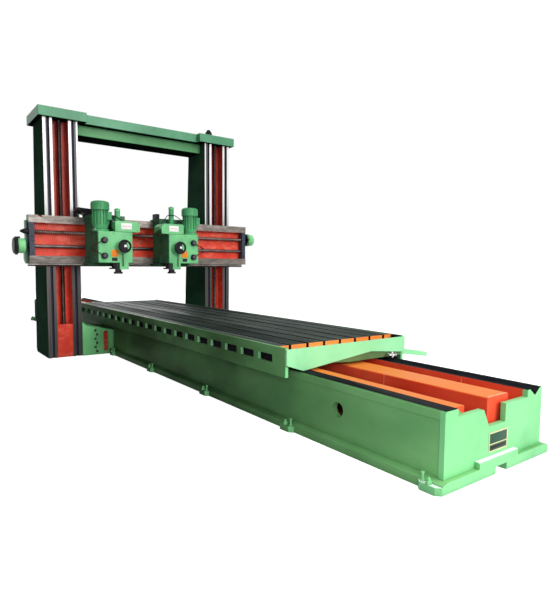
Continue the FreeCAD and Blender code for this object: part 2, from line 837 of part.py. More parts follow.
def crossrail():
    """The rail's back plate, its belly between the columns and the two lifting nuts."""
    plate = block(-rail_half_length, rail_half_length, rail_web_front_y, rail_back_y,
                  rail_foot_z, rail_top_z)
    belly = prism_along_z([(-rail_belly_half_length, rail_back_y),
                           (-rail_belly_half_length, rail_belly_shoulder),
                           (-rail_belly_flat_half_length, rail_belly_depth),
                           (rail_belly_flat_half_length, rail_belly_depth),
                           (rail_belly_half_length, rail_belly_shoulder),
                           (rail_belly_half_length, rail_back_y)],
                          rail_belly_low_z, rail_belly_high_z)
    rail = plate.fuse(belly)
    for side in (-1.0, 1.0):
        x = side * screw_x
        nut = block(x - rail_nut_width / 2.0, x + rail_nut_width / 2.0, rail_back_y, rail_nut_back_y,
                    rail_nut_z - rail_nut_height / 2.0, rail_nut_z + rail_nut_height / 2.0)
        hole = Part.makeCylinder(lift_screw_radius + lift_screw_gap, rail_nut_height * 2.0,
                                 V(x, lift_screw_y, rail_nut_z - rail_nut_height))
        rail = rail.fuse(nut).cut(hole)
    return rail.removeSplitter()


def rail_ways():
    """The rail's upper and lower front guideways, with a notch in the upper one."""
    upper = block(-rail_half_length, rail_half_length, rail_front_y, rail_web_front_y,
                  rail_upper_way_z, rail_top_z)
    notch_x = -rail_half_length + way_notch_from_end
    upper = upper.cut(block(notch_x, notch_x + way_notch_width, rail_front_y, rail_web_front_y,
                            rail_top_z - way_notch_depth, rail_top_z))
    lower = block(-rail_half_length, rail_half_length, rail_front_y, rail_web_front_y,
                  rail_bottom_z, rail_lower_way_z)
    return Part.makeCompound([upper, lower])


def rail_end_plates():
    """The two bearing plates that close the ends of the rail's recess."""
    left = block(-rail_half_length + rail_end_inset,
                 -rail_half_length + rail_end_inset + rail_end_plate,
                 rail_front_y + rail_end_inset, rail_web_front_y, rail_lower_way_z, rail_upper_way_z)
    return Part.makeCompound([left, mirrored_x(left)])


def feed_shafts():
    """The cross-feed screw above and the feed shaft below, between the end plates."""
    shafts = []
    for z in (upper_shaft_z, lower_shaft_z):
        shafts.append(round_bar(feed_shaft_radius, V(-rail_shaft_end_x, feed_shaft_y, z),
                                V(rail_shaft_end_x, feed_shaft_y, z)))
    return Part.makeCompound(shafts)


def gear_cover():
    """The cast cover behind the shafts on the rail's left end, thicker over the lower gears."""
    face = -rail_half_length - gear_cover_thickness
    case = -rail_half_length - gear_case_thickness
    outline = [(-rail_half_length, gear_cover_bottom_z), (-rail_half_length, gear_cover_top_z),
               (face, gear_cover_top_z), (face, gear_case_top_z), (case, gear_case_top_z - gear_case_slope),
               (case, gear_case_bottom_z), (face, gear_cover_bottom_z)]
    return prism_along_y(outline, gear_cover_front_y, gear_cover_back_y)


def left_dial():
    """The feed drum on the lower shaft's left end, with its black disc outside."""
    drum = dial_neck_length + left_drum_length
    disc = drum + left_disc_length
    profile = [(0.0, 0.0), (0.0, dial_neck_radius), (dial_neck_length, dial_neck_radius),
               (dial_neck_length, left_drum_radius - left_drum_bevel),
               (dial_neck_length + left_drum_bevel, left_drum_radius), (drum, left_drum_radius),
               (drum, left_disc_radius), (disc - left_disc_bevel, left_disc_radius),
               (disc, left_disc_radius - left_disc_bevel), (disc, 0.0)]
    centre = V(-rail_half_length + rail_end_inset, feed_shaft_y, lower_shaft_z)
    return turned_along(profile, centre, V(-1, 0, 0), V(0, 0, 1))


def left_shaft_collar():
    """The black collar on the upper shaft's left end."""
    tip = shaft_collar_length + shaft_tip_length
    profile = [(0.0, 0.0), (0.0, shaft_collar_radius), (shaft_collar_length, shaft_collar_radius),
               (tip, shaft_tip_radius), (tip, 0.0)]
    centre = V(-rail_half_length + rail_end_inset, feed_shaft_y, upper_shaft_z)
    return turned_along(profile, centre, V(-1, 0, 0), V(0, 0, 1))


def right_dial():
    """The black disc and the drum on the upper shaft's right end."""
    disc = right_disc_from_rail + right_disc_length
    drum = disc + right_drum_length
    tip = drum + right_tip_length
    profile = [(0.0, 0.0), (0.0, shaft_collar_radius), (right_disc_from_rail, shaft_collar_radius),
               (right_disc_from_rail, right_disc_radius), (disc, right_disc_radius),
               (disc, right_drum_radius), (drum - right_drum_bevel, right_drum_radius),
               (drum, right_drum_radius - right_drum_bevel), (drum, shaft_tip_radius),
               (tip, shaft_tip_radius), (tip, 0.0)]
    centre = V(rail_half_length - rail_end_inset, feed_shaft_y, upper_shaft_z)
    return turned_along(profile, centre, V(1, 0, 0), V(0, 0, 1))


def feed_dials():
    """The dials and the collar on the ends of the two shafts."""
    return Part.makeCompound([left_dial(), left_shaft_collar(), right_dial()])


# Milling heads

def place_head(shape, centre_x, side):
    """Carry a piece from the head's own frame to its place on the rail."""
    placed = shape.copy()
    if side < 0:
        placed = mirrored_x(placed)
    placed.translate(V(centre_x, 0, 0))
    return placed


def saddle(has_bracket):
    """The saddle: a plate that wraps the rail's upper and lower ways."""
    gap = way_gap
    outline = [(saddle_front_y, saddle_bottom_z), (saddle_lip_back_y, saddle_bottom_z),
               (saddle_lip_back_y, rail_bottom_z - gap), (rail_front_y - gap, rail_bottom_z - gap),
               (rail_front_y - gap, rail_top_z + gap), (saddle_lip_back_y, rail_top_z + gap),
               (saddle_lip_back_y, saddle_top_z), (saddle_front_y, saddle_top_z)]
    plate = prism_along_x(outline, -saddle_half_width, saddle_half_width)
    if has_bracket:
        extra = prism_along_y([(bracket_root_u, saddle_top_z), (bracket_tip_u, bracket_tip_low_z),
                               (bracket_tip_u, bracket_tip_high_z),
                               (bracket_crest_u, bracket_crest_z),
                               (bracket_inner_u, saddle_top_z)], bracket_front_y, saddle_lip_back_y)
    else:
        extra = block(saddle_half_width - oil_box_width, saddle_half_width, bracket_front_y,
                      oil_box_back_y, saddle_top_z, saddle_top_z + oil_box_height)
    return plate.fuse(extra).removeSplitter()


def head_housing(draw_tube_top_z):
    """The gear housing: its box, the ear over the spindle, the foot and the draw-bar tube."""
    box = block(-housing_half_width, housing_half_width, housing_front_y, saddle_front_y,
                housing_bottom_z, housing_top_z)
    box = rounded_edges(box, housing_corner, lambda c, e: c.y < housing_front_y + 1.0
                        or (runs_along(e, V(0, 1, 0)) and c.z < housing_top_z - 1.0))
    c = ear_corner
    ear = prism_along_y([(0.0, housing_top_z), (ear_reach_u - c, housing_top_z),
                         (ear_reach_u, housing_top_z + c), (ear_reach_u, ear_top_z - ear_end_bevel),
                         (ear_reach_u - ear_end_bevel, ear_top_z), (c, ear_top_z),
                         (0.0, ear_top_z - c)], housing_front_y, ear_back_y)
    plug = round_bar(ear_plug_radius, V(ear_reach_u, ear_plug_y, ear_plug_z),
                     V(ear_reach_u + ear_plug_length, ear_plug_y, ear_plug_z))
    foot = block(foot_inner_u, foot_outer_u, housing_front_y, foot_back_y,
                 foot_bottom_z, housing_bottom_z + housing_corner * 2.0)
    tube = Part.makeCylinder(draw_tube_radius, draw_tube_top_z - ear_top_z,
                             V(spindle_u, spindle_y, ear_top_z))
    housing = box.fuse([ear, plug, foot, tube]).removeSplitter()
    slot = block(depth_slot_u - depth_slot_width / 2.0, depth_slot_u + depth_slot_width / 2.0,
                 housing_front_y - 1.0, housing_front_y + depth_slot_depth,
                 depth_slot_low_z, depth_slot_high_z)
    bore = Part.makeCylinder(quill_radius + quill_gap, quill_bore_depth,
                             V(spindle_u, spindle_y, housing_bottom_z))
    return housing.cut(slot).cut(bore)


def quill():
    """The sliding quill with the flange ring at its lower end."""
    top = quill_flange_z + quill_length
    profile = [(0.0, quill_flange_z), (quill_flange_radius, quill_flange_z),
               (quill_flange_radius, quill_flange_z + quill_flange_height),
               (quill_radius, quill_flange_z + quill_flange_height), (quill_radius, top), (0.0, top)]
    return turned(profile, V(spindle_u, spindle_y, 0))


def spindle_nose():
    """The spindle nose: its taper seat, and four tapped holes on their bolt circle."""
    shoulder = nose_bottom_z + nose_flange_height
    taper_top = nose_bottom_z + nose_taper_depth
    profile = [(nose_taper_radius, nose_bottom_z), (nose_radius, nose_bottom_z),
               (nose_radius, shoulder), (nose_neck_radius, shoulder + nose_neck_slope),
               (nose_neck_radius, quill_flange_z - seat_gap), (0.0, quill_flange_z - seat_gap),
               (0.0, taper_top), (nose_taper_end_radius, taper_top)]
    nose = turned(profile, V(spindle_u, spindle_y, 0))
    for i in range(nose_bolt_count):
        angle = math.radians(nose_bolt_turn + 360.0 * i / nose_bolt_count)
        x = spindle_u + nose_bolt_circle / 2.0 * math.cos(angle)
        y = spindle_y + nose_bolt_circle / 2.0 * math.sin(angle)
        nose = nose.cut(Part.makeCylinder(nose_bolt_radius, nose_bolt_depth, V(x, y, nose_bottom_z)))
    return nose


def drive_motor():
    """The vertical drive motor: foot, bell, finned shell, fan cowl and terminal box."""
    z0 = housing_top_z
    z1 = z0 + motor_foot_height
    z2 = z1 + motor_bell_height
    z3 = z2 + motor_core_height
    z4 = z3 + motor_cowl_height
    bevel = motor_cowl_bevel
    profile = [(0.0, z0), (motor_foot_radius, z0), (motor_foot_radius, z1),
               (motor_bell_radius - motor_bell_waist, z1),
               (motor_bell_radius, z2 - motor_bell_waist), (motor_bell_radius, z2),
               (motor_core_radius, z2), (motor_core_radius, z3), (motor_cowl_radius, z3),
               (motor_cowl_radius, z4 - bevel),
               (motor_cowl_radius - motor_cowl_edge, z4 - motor_cowl_edge),
               (motor_cowl_radius - bevel, z4), (0.0, z4)]
    body = turned(profile, V(0, 0, 0))
    fins = []
    for i in range(motor_fin_count):
        fin = block(motor_core_radius - motor_fin_root, motor_core_radius + motor_fin_reach,
                    -motor_fin_thickness / 2.0, motor_fin_thickness / 2.0, z2, z3)
        fin.rotate(V(0, 0, 0), V(0, 0, 1), 360.0 * i / motor_fin_count + motor_turn)
        fins.append(fin)
    outline = cut_corners(motor_core_radius - motor_fin_root, motor_core_radius + terminal_box_reach,
                          -terminal_box_width / 2.0, terminal_box_width / 2.0, terminal_box_corner)
    box = prism_along_z(outline, terminal_box_z, terminal_box_z + terminal_box_height)
    box.rotate(V(0, 0, 0), V(0, 0, 1), terminal_box_turn)
    return body.fuse(fins + [box]).removeSplitter()


def left_motor_lead():
    """The lead from the left motor's terminal box, past the tube and along the ear."""
    turn = math.radians(terminal_box_turn)
    along = V(math.cos(turn), math.sin(turn), 0)
    outward = V(-math.sin(turn), math.cos(turn), 0)
    lead_y = spindle_y - draw_tube_radius - lead_from_tube - lead_radius
    start = V(motor_u, motor_y, left_lead_z).add(along * left_lead_from_motor)
    start = start.add(outward * (terminal_box_width / 2.0 + seat_gap))
    first = start.add(outward * ((lead_y - start.y) / outward.y))
    rest_z = ear_top_z + lead_radius + seat_gap
    points = [start, first, V(left_lead_high_u, lead_y, left_lead_z),
              V(left_lead_rest_u, lead_y, rest_z), V(left_lead_end_u, lead_y, rest_z)]
    return bent_rod(points, lead_bend, lead_radius)


def right_motor_lead():
    """The lead from the right motor's shell, over the ear in front of the tube."""
    lead_y = spindle_y - draw_tube_radius - lead_from_tube - lead_radius
    start_u = motor_u + motor_core_radius + seat_gap
    points = [V(start_u, motor_y, right_lead_z), V(right_lead_turn_u, motor_y, right_lead_z),
              V(right_lead_rise_u, lead_y, right_lead_crest_z),
              V(right_lead_fall_u, lead_y, right_lead_crest_z),
              V(right_lead_end_u, lead_y, ear_top_z + right_lead_end_rise)]
    return bent_rod(points, lead_bend, lead_radius)


def place_alike(shape, centre_x, side, u, y):
    """Both heads carry this piece the same way round, at mirrored places."""
    placed = shape.copy()
    placed.translate(V(centre_x + side * u, y, 0))
    return placed


def controls():
    """The two selector knobs with their levers."""
    profile = [(0.0, 0.0), (0.0, knob_radius), (knob_length - knob_bevel, knob_radius),
               (knob_length, knob_radius - knob_bevel), (knob_length, 0.0)]
    pieces = []
    for z, turn in ((upper_knob_z, -1.0), (lower_knob_z, 1.0)):
        knob = turned_along(profile, V(knob_u, housing_front_y, z), V(0, -1, 0), V(0, 0, 1))
        start = V(knob_u, housing_front_y - knob_length / 2.0, z)
        end = start.add(V(-lever_reach, 0, turn * lever_drop))
        back = start.sub(end).normalize()
        lever = round_bar(lever_radius, start, end)
        grip = round_bar(lever_grip_radius, end, end.add(back * lever_grip_length))
        pieces.append(knob.fuse([lever, grip]).removeSplitter())
    return Part.makeCompound(pieces)


def handwheel():
    """The handwheel that feeds the quill: a wide rim on flat spokes, a hub and its shaft."""
    centre = V(0, 0, handwheel_z)
    inner = handwheel_radius - handwheel_rim_width
    half = handwheel_rim_depth / 2.0
    bevel = handwheel_rim_bevel
    profile = [(-half, inner), (-half, handwheel_radius - bevel), (-half + bevel, handwheel_radius),
               (half - bevel, handwheel_radius), (half, handwheel_radius - bevel), (half, inner)]
    rim = turned_along(profile, centre, V(0, 1, 0), V(0, 0, 1))
    hub_half = handwheel_hub_length / 2.0
    hub = round_bar(handwheel_hub_radius, V(0, -hub_half, centre.z), V(0, hub_half, centre.z))
    shaft = round_bar(handwheel_shaft_radius, centre,
                      V(0, housing_front_y - seat_gap - handwheel_y, centre.z))
    wide = handwheel_spoke_width / 2.0
    narrow = wide - handwheel_spoke_taper
    reach = inner + handwheel_spoke_root
    outline = [(0.0, centre.z - wide), (reach, centre.z - narrow), (reach, centre.z + narrow),
               (0.0, centre.z + wide)]
    spokes = []
    for i in range(handwheel_spoke_count):
        spoke = prism_along_y(outline, -handwheel_spoke_depth / 2.0, handwheel_spoke_depth / 2.0)
        spoke.rotate(centre, V(0, -1, 0), handwheel_spoke_turn + 360.0 * i / handwheel_spoke_count)
        spokes.append(spoke)
    return rim.fuse([hub, shaft] + spokes).removeSplitter()


def fixed_nodes():
    """Everything that stands on the floor."""
    column = left_column()
    wing = left_wing()
    return {
        "bed_side_walls": bed_side_walls(), "bed_end_walls": bed_end_walls(),
        "flat_bed_way": flat_way_bar(), "vee_bed_way": vee_way_bar(),
        "bed_floor": bed_floor(), "bed_centre_box": centre_box(),
        "bed_wings": Part.makeCompound([wing, mirrored_x(wing)]),
        "left_column": column, "right_column": mirrored_x(column),
        "column_ways": column_ways(),
        "elevating_screws": lift_screws(), "column_caps": column_caps(),
        "crown_beam": crown_beam(), "tie_beam": tie_beam(), "lift_gear_cap": lift_gear_cap(),
    }


def table_nodes():
    """Everything that travels with the table."""
    skirt = left_skirt()
    return {
        "table_base": table_base(), "table_top": table_lands(),
        "table_left_side": skirt, "table_right_side": mirrored_x(skirt),
        "table_slides": table_slides(), "near_trough": near_trough(),
        "far_trough": far_trough(), "drain_spout": drain_spout(),
    }


def rail_nodes():
    """The crossrail and what is fixed to it."""
    return {
        "crossrail": crossrail(), "rail_ways": rail_ways(), "rail_end_plates": rail_end_plates(),
        "feed_shafts": feed_shafts(), "gear_cover": gear_cover(),
        "feed_dials": feed_dials(),
    }


def head_nodes(name, centre_x, side, draw_tube_top_z, has_bracket, lead):
    """One milling head, as pieces named for its side of the machine."""
    return {
        name + "_saddle": place_head(saddle(has_bracket), centre_x, side),
        name + "_head_housing": place_head(head_housing(draw_tube_top_z), centre_x, side),
        name + "_drive_motor": place_alike(drive_motor(), centre_x, side, motor_u, motor_y),
        name + "_motor_lead": place_head(lead, centre_x, side),
        name + "_head_levers": place_head(controls(), centre_x, side),
        name + "_quill": place_head(quill(), centre_x, side),
        name + "_spindle_nose": place_head(spindle_nose(), centre_x, side),
        name + "_handwheel": place_alike(handwheel(), centre_x, side, handwheel_u, handwheel_y),
    }


def build():
    """Make every piece and write it under its own name."""
    os.makedirs("parts", exist_ok=True)
    nodes = {}
    nodes.update(fixed_nodes())
    nodes.update(table_nodes())
    nodes.update(rail_nodes())
    nodes.update(head_nodes("left", left_head_x, 1.0, left_draw_tube_top_z, True,
                            left_motor_lead()))
    nodes.update(head_nodes("right", right_head_x, -1.0, right_draw_tube_top_z, False,
                            right_motor_lead()))
    for name, shape in nodes.items():
        write_node(name, shape)
        print(name, len(shape.Solids), "solids", round(shape.Volume / 1e6), "litres")


build()
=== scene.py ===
"""Looks of a gantry milling machine: castings in brushed enamel, scraped guideways, turned steel.

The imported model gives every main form. This script gives each form its finish, and adds the
small hardware, plates and fittings that the model leaves out. Lengths are in metres, in the
machine's frame: X across the machine, Y along the bed, Z up.
"""

import logging
import math
from collections.abc import Callable, Sequence
from dataclasses import dataclass
from enum import Enum

import bmesh
import bpy
from mathutils import Matrix, Vector

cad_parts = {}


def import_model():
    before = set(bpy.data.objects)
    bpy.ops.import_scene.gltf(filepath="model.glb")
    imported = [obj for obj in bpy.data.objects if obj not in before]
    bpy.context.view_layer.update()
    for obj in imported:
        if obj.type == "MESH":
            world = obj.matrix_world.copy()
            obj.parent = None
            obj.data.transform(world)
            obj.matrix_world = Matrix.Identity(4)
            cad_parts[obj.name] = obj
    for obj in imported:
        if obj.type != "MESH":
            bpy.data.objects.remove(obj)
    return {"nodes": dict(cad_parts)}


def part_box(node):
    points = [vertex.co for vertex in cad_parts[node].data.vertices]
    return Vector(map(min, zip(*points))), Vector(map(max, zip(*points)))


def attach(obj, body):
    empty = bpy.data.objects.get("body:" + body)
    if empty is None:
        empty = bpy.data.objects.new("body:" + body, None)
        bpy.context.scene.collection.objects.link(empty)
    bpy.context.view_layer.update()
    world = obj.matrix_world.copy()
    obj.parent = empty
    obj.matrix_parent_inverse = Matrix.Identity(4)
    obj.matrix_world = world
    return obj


LOG = logging.getLogger("gantry_mill")
MM = 0.001
UP = Vector((0.0, 0.0, 1.0)).freeze()
AHEAD = Vector((0.0, -1.0, 0.0)).freeze()
SIDES = (-1.0, 1.0)
# Least part of a face's normal along an axis, for faces that are square to it, lean or slope.
SQUARE = 0.9
LEANING = 0.5
SLOPED = 0.3
# Reach within which a face counts as lying on a plane.
ON_PLANE = 0.001
ENAMEL_IOR = 1.5
OIL_IOR = 1.47

Socket = bpy.types.NodeSocket
Pair = tuple[float, float]
Triple = tuple[float, float, float]
Profile = Sequence[Pair]
Inputs = dict[str | int, object]
NODES: dict[str, bpy.types.Object] = {}


# Colour and node helpers


def linear(hex_code: str) -> tuple[float, float, float, float]:
    """Turn an sRGB hex colour into linear values.

    Args:
        hex_code: Colour as six hex digits after a hash sign.

    Returns:
        Red, green and blue in linear light, with an alpha of one.
    """
    parts = [int(hex_code[i : i + 2], 16) / 255.0 for i in (1, 3, 5)]
    rgb = [c / 12.92 if c <= 0.04045 else ((c + 0.055) / 1.055) ** 2.4 for c in parts]
    return (rgb[0], rgb[1], rgb[2], 1.0)


def add_node(
    tree: bpy.types.NodeTree,
    kind: str,
    inputs: Inputs | None = None,
    **settings: object,
) -> bpy.types.Node:
    """Add a shader node with its settings, values and links.

    Args:
        tree: Node tree that takes the node.
        kind: Blender's name of the node type.
        inputs: Values of its sockets, or the output sockets that feed them.
        **settings: Properties of the node itself.

    Returns:
        The new node.
    """
    node = tree.nodes.new(kind)
    for key, value in settings.items():
        setattr(node, key, value)
    for key, value in (inputs or {}).items():
        if isinstance(value, Socket):
            tree.links.new(value, node.inputs[key])
        else:
            node.inputs[key].default_value = value
    return node


def empty_tree(owner: bpy.types.Material | bpy.types.World) -> bpy.types.NodeTree:
    """Give a material or world a node tree with nothing in it.

    Args:
        owner: The material or world.

    Returns:
        Its tree.
    """
    owner.use_nodes = True
    owner.node_tree.nodes.clear()
    return owner.node_tree


def seen_by(tree: bpy.types.NodeTree, rays: Sequence[str]) -> Socket:
    """Give one for some kinds of ray and zero for all others.

    Args:
        tree: Node tree that takes the nodes.
        rays: Blender's names of the kinds of ray.

    Returns:
        The value.
    """
    path = add_node(tree, "ShaderNodeLightPath")
    seen = path.outputs[rays[0]]
    for ray in rays[1:]:
        values = {0: seen, 1: path.outputs[ray]}
        seen = add_node(tree, "ShaderNodeMath", values, operation="MAXIMUM").outputs[0]
    return seen


class Surface:
    """A material under construction, with the patterns that several finishes share.

    Colours are sockets or hex codes. Axes are 0 for X, 1 for Y and 2 for Z.
    """

    def __init__(self, name: str) -> None:
        """Start an empty material.

        Args:
            name: Name of the material.
        """
        self.material = bpy.data.materials.new(name)
        self.tree = empty_tree(self.material)
        self.place = self.add("ShaderNodeTexCoord", "Object")

    def add(self, kind: str, socket: str | int, inputs: Inputs | None = None, **settings: object) -> Socket:
        """Add a node and give one of its outputs."""
        return add_node(self.tree, kind, inputs, **settings).outputs[socket]

    def noise(self, size_mm: float, stretch: Triple = (1.0, 1.0, 1.0), detail: float = 4.0) -> Socket:
        """Add cloudy noise.

        Args:
            size_mm: Width of one patch.
            stretch: How much longer a patch is along each axis.
            detail: Number of finer layers.

        Returns:
            The noise's value.
        """
        scale = tuple(1.0 / s for s in stretch)
        spot = self.add("ShaderNodeMapping", 0, {"Vector": self.place, "Scale": scale})
        inputs = {"Vector": spot, "Scale": 1.0 / (size_mm * MM), "Detail": detail}
        return self.add("ShaderNodeTexNoise", "Fac", inputs)

    def maths(self, operation: str, *values: Socket | float) -> Socket:
        """Work out a value from others."""
        return self.add("ShaderNodeMath", 0, dict(enumerate(values)), operation=operation)

    def between(self, value: Socket, low: float, high: float) -> Socket:
        """Stretch a value so that low gives zero and high gives one."""
        return self.add("ShaderNodeMapRange", 0, {0: value, 1: low, 2: high, 3: 0.0, 4: 1.0}, clamp=True)

    def times(self, first: Socket, *others: Socket | float) -> Socket:
        """Multiply values, each product kept between zero and one.

        Args:
            first: First value.
            *others: The values that it is multiplied by.

        Returns:
            The product.
        """
        for other in others:
            pair = {0: first, 1: other}
            first = self.add("ShaderNodeMath", 0, pair, operation="MULTIPLY", use_clamp=True)
        return first

    def mix(self, amount: Socket, first: Socket | str, second: Socket | str) -> Socket:
        """Mix two colours."""
        a, b = (linear(c) if isinstance(c, str) else c for c in (first, second))
        return self.add("ShaderNodeMix", 2, {0: amount, 6: a, 7: b}, data_type="RGBA")

    def cloud(
        self,
        under: Socket | str,
        over: str,
        share: float,
        size_mm: float,
        span: Pair,
        stretch: Triple = (1.0, 1.0, 1.0),
        detail: float = 4.0,
    ) -> Socket:
        """Lay a second colour over the first in cloudy patches."""
        amount = self.between(self.noise(size_mm, stretch, detail), *span)
        return self.mix(self.times(amount, share), under, over)

    def facing(self, axis: int) -> Socket:
        """Give how far a face looks along an axis of the machine."""
        normal = self.add("ShaderNodeNewGeometry", "Normal")
        return self.add("ShaderNodeSeparateXYZ", axis, {0: normal})

    def along(self, axis: int) -> Socket:
        """Give a point's place along an axis of the machine, in metres."""
        return self.add("ShaderNodeSeparateXYZ", axis, {0: self.place})

    def crevice(self, reach_mm: float) -> Socket:
        """Give one in corners and hollows, and zero on open faces."""
        openness = self.add("ShaderNodeAmbientOcclusion", "AO", {"Distance": reach_mm * MM}, samples=4)
        return self.between(openness, 0.85, 0.25)

    def relief(self, parts: Sequence[tuple[Socket, float]], edge_mm: float = 0.0) -> Socket:
        """Stack bump layers.

        Args:
            parts: Pairs of height socket and depth in millimetres.
            edge_mm: Radius at which sharp edges look rounded.

        Returns:
            The bent normal.
        """
        normal = None
        if edge_mm > 0.0:
            normal = self.add("ShaderNodeBevel", 0, {"Radius": edge_mm * MM}, samples=4)
        for height, depth_mm in parts:
            inputs = {"Height": height, "Distance": depth_mm * MM, "Strength": 1.0}
            if normal is not None:
                inputs["Normal"] = normal
            normal = self.add("ShaderNodeBump", 0, inputs)
        return normal

    def finish(
        self,
        colour: Socket,
        roughness: Socket | float,
        normal: Socket,
        metallic: float = 0.0,
        ior: float | None = None,
        gloss: float = 0.5,
    ) -> bpy.types.Material:
        """Close the material with its shader.

        Args:
            colour: Base colour.
            roughness: Roughness socket or value.
            normal: Bent normal.
            metallic: Share of metal.
            ior: Index of refraction, or none for a metal.
            gloss: Level of the mirror-like part, 0.5 for a clean smooth skin.

        Returns:
            The material.
        """
        inputs: Inputs = {
            "Base Color": colour,
            "Roughness": roughness,
            "Metallic": metallic,
            "Specular IOR Level": gloss,
            "Normal": normal,
        }
        if ior is not None:
            inputs["IOR"] = ior
        shader = self.add("ShaderNodeBsdfPrincipled", 0, inputs)
        add_node(self.tree, "ShaderNodeOutputMaterial", {"Surface": shader})
        return self.material


# Finishes


@dataclass(frozen=True)
class BrushedEnamel:
    """Alkyd machine enamel, brushed over filled grey iron: soft gloss, brush marks, grime and painted shade
    in corners.
    """

    name: str
    coat: str
    thin: str
    grime_and_shade: str
    lit_top: str = ""
    pale: str = ""
    roughness: float = 0.36
    patch_mm: float = 520.0
    brush_mm: float = 26.0
    shade_and_grime_reach_mm: float = 70.0
    edge_mm: float = 4.0
    dirt: float = 0.22
    gloss: float = 0.22
    cast_mm: float = 0.55
    shade_below_z: float = 0.0
    shade_from_y: float = -5.75
    dark: str = "#0E0A0A"
    darker_above_z: float = 0.0
    soil_and_falloff_y: Pair = (0.0, 0.0)
    soil_and_falloff_share: float = 0.0

    def build(self) -> bpy.types.Material:
        """Make the enamel's material.

        Returns:
            The material.
        """
        s = Surface(self.name)
        # Broad patches are where the brush laid the coat thicker or thinner.
        colour = s.cloud(self.coat, self.thin, 1.0, self.patch_mm, (0.36, 0.66), (1.0, 1.6, 0.8))
        # Clouds of oily dirt drift down the upright faces.
        runs_mm = self.patch_mm * 0.55
        colour = s.cloud(colour, self.grime_and_shade, self.dirt, runs_mm, (0.54, 0.78), (1.0, 1.3, 1.5), 6.0)
        if self.pale:
            # Pale, chalky patches lie at random over the rough casting.
            colour = s.cloud(colour, self.pale, 0.6, 85.0, (0.50, 0.72), (1.6, 1.0, 1.0), 6.0)
        # Corners and hollows are darkened towards the grime colour: grime, and painted shade where little
        # light gets.
        colour = s.mix(s.times(s.crevice(self.shade_and_grime_reach_mm), 0.42), colour, self.grime_and_shade)
        if self.darker_above_z > 0.0:
            # High up the coat is darkened half way to its grime colour.
            dull = s.between(s.along(2), self.darker_above_z, self.darker_above_z + 0.7)
            colour = s.mix(s.times(dull, 0.5), colour, self.grime_and_shade)
        if self.soil_and_falloff_share > 0.0:
            # The long sides darken towards the columns: partly oil, partly painted shade where the light
            # falls off away from the near end.
            falloff_and_soil = s.between(s.along(1), *self.soil_and_falloff_y)
            clouds = s.between(s.noise(420.0, (1.0, 2.0, 1.0), 5.0), -0.6, 0.62)
            colour = s.mix(s.times(falloff_and_soil, clouds, self.soil_and_falloff_share), colour, self.grime_and_shade)
        if self.lit_top:
            # Level tops are painted paler and warmer: a painted highlight where the light falls on them.
            colour = s.mix(s.between(s.facing(2), 0.55, 0.95), colour, self.lit_top)
        if self.shade_below_z > 0.0:
            # Low in the casting the red is painted dark: painted shade inside the closed bed, with old oil
            # and chips.
            depth = s.between(s.along(2), self.shade_below_z, self.shade_below_z - 0.08)
            inside = s.between(s.along(1), self.shade_from_y, self.shade_from_y + 0.25)
            colour = s.mix(s.times(depth, inside, 0.94), colour, self.dark)
        # Brush marks and the sand-cast skin under the coat break up the highlights.
        marks = s.noise(self.brush_mm, (0.5, 2.2, 2.2))
        rough = s.between(s.noise(self.patch_mm * 0.5), -2.0 + self.roughness, 2.4)
        normal = s.relief([(marks, self.cast_mm), (s.noise(3.0), 0.10)], self.edge_mm)
        rough = s.times(rough, self.roughness * 1.9)
        return s.finish(colour, rough, normal, 0.0, ENAMEL_IOR, self.gloss)


@dataclass(frozen=True)
class ScrapedIron:
    """Grey iron guideway, planed and hand scraped: a dull frosted shine under thin oil."""

    name: str
    bright: str
    dull: str
    stain: str
    roughness: float = 0.42
    frost_mm: float = 26.0
    stain_mm: float = 260.0
    streak_mm: float = 9.0
    run: Triple = (1.0, 1.0, 1.0)
    metallic: float = 0.75
    stain_share: float = 0.5
    gloss: float = 0.18

    def build(self) -> bpy.types.Material:
        """Make the scraped iron's material.

        Returns:
            The material.
        """
        s = Surface(self.name)
        # The scraper leaves a frost of small bright and dull touches.
        frost = s.between(s.noise(self.frost_mm, self.run, 2.0), 0.35, 0.65)
        colour = s.mix(frost, self.bright, self.dull)
        # Stains of thin oil dull it in larger patches.
        stains = s.between(s.noise(self.stain_mm, self.run), 0.46, 0.66)
        colour = s.mix(s.times(stains, self.stain_share), colour, self.stain)
        # Planing marks run the long way.
        streaks = s.noise(self.streak_mm, tuple(8.0 * r if r > 1.0 else 1.0 for r in self.run))
        normal = s.relief([(frost, 0.06), (streaks, 0.05)], 1.5)
        rough = s.times(s.between(stains, -1.6, 1.4), self.roughness * 1.6)
        if self.metallic > 0.0:
            return s.finish(colour, rough, normal, self.metallic)
        # Thick black oil hides the metal, so it shines like a dull film.
        return s.finish(colour, rough, normal, 0.0, OIL_IOR, self.gloss)


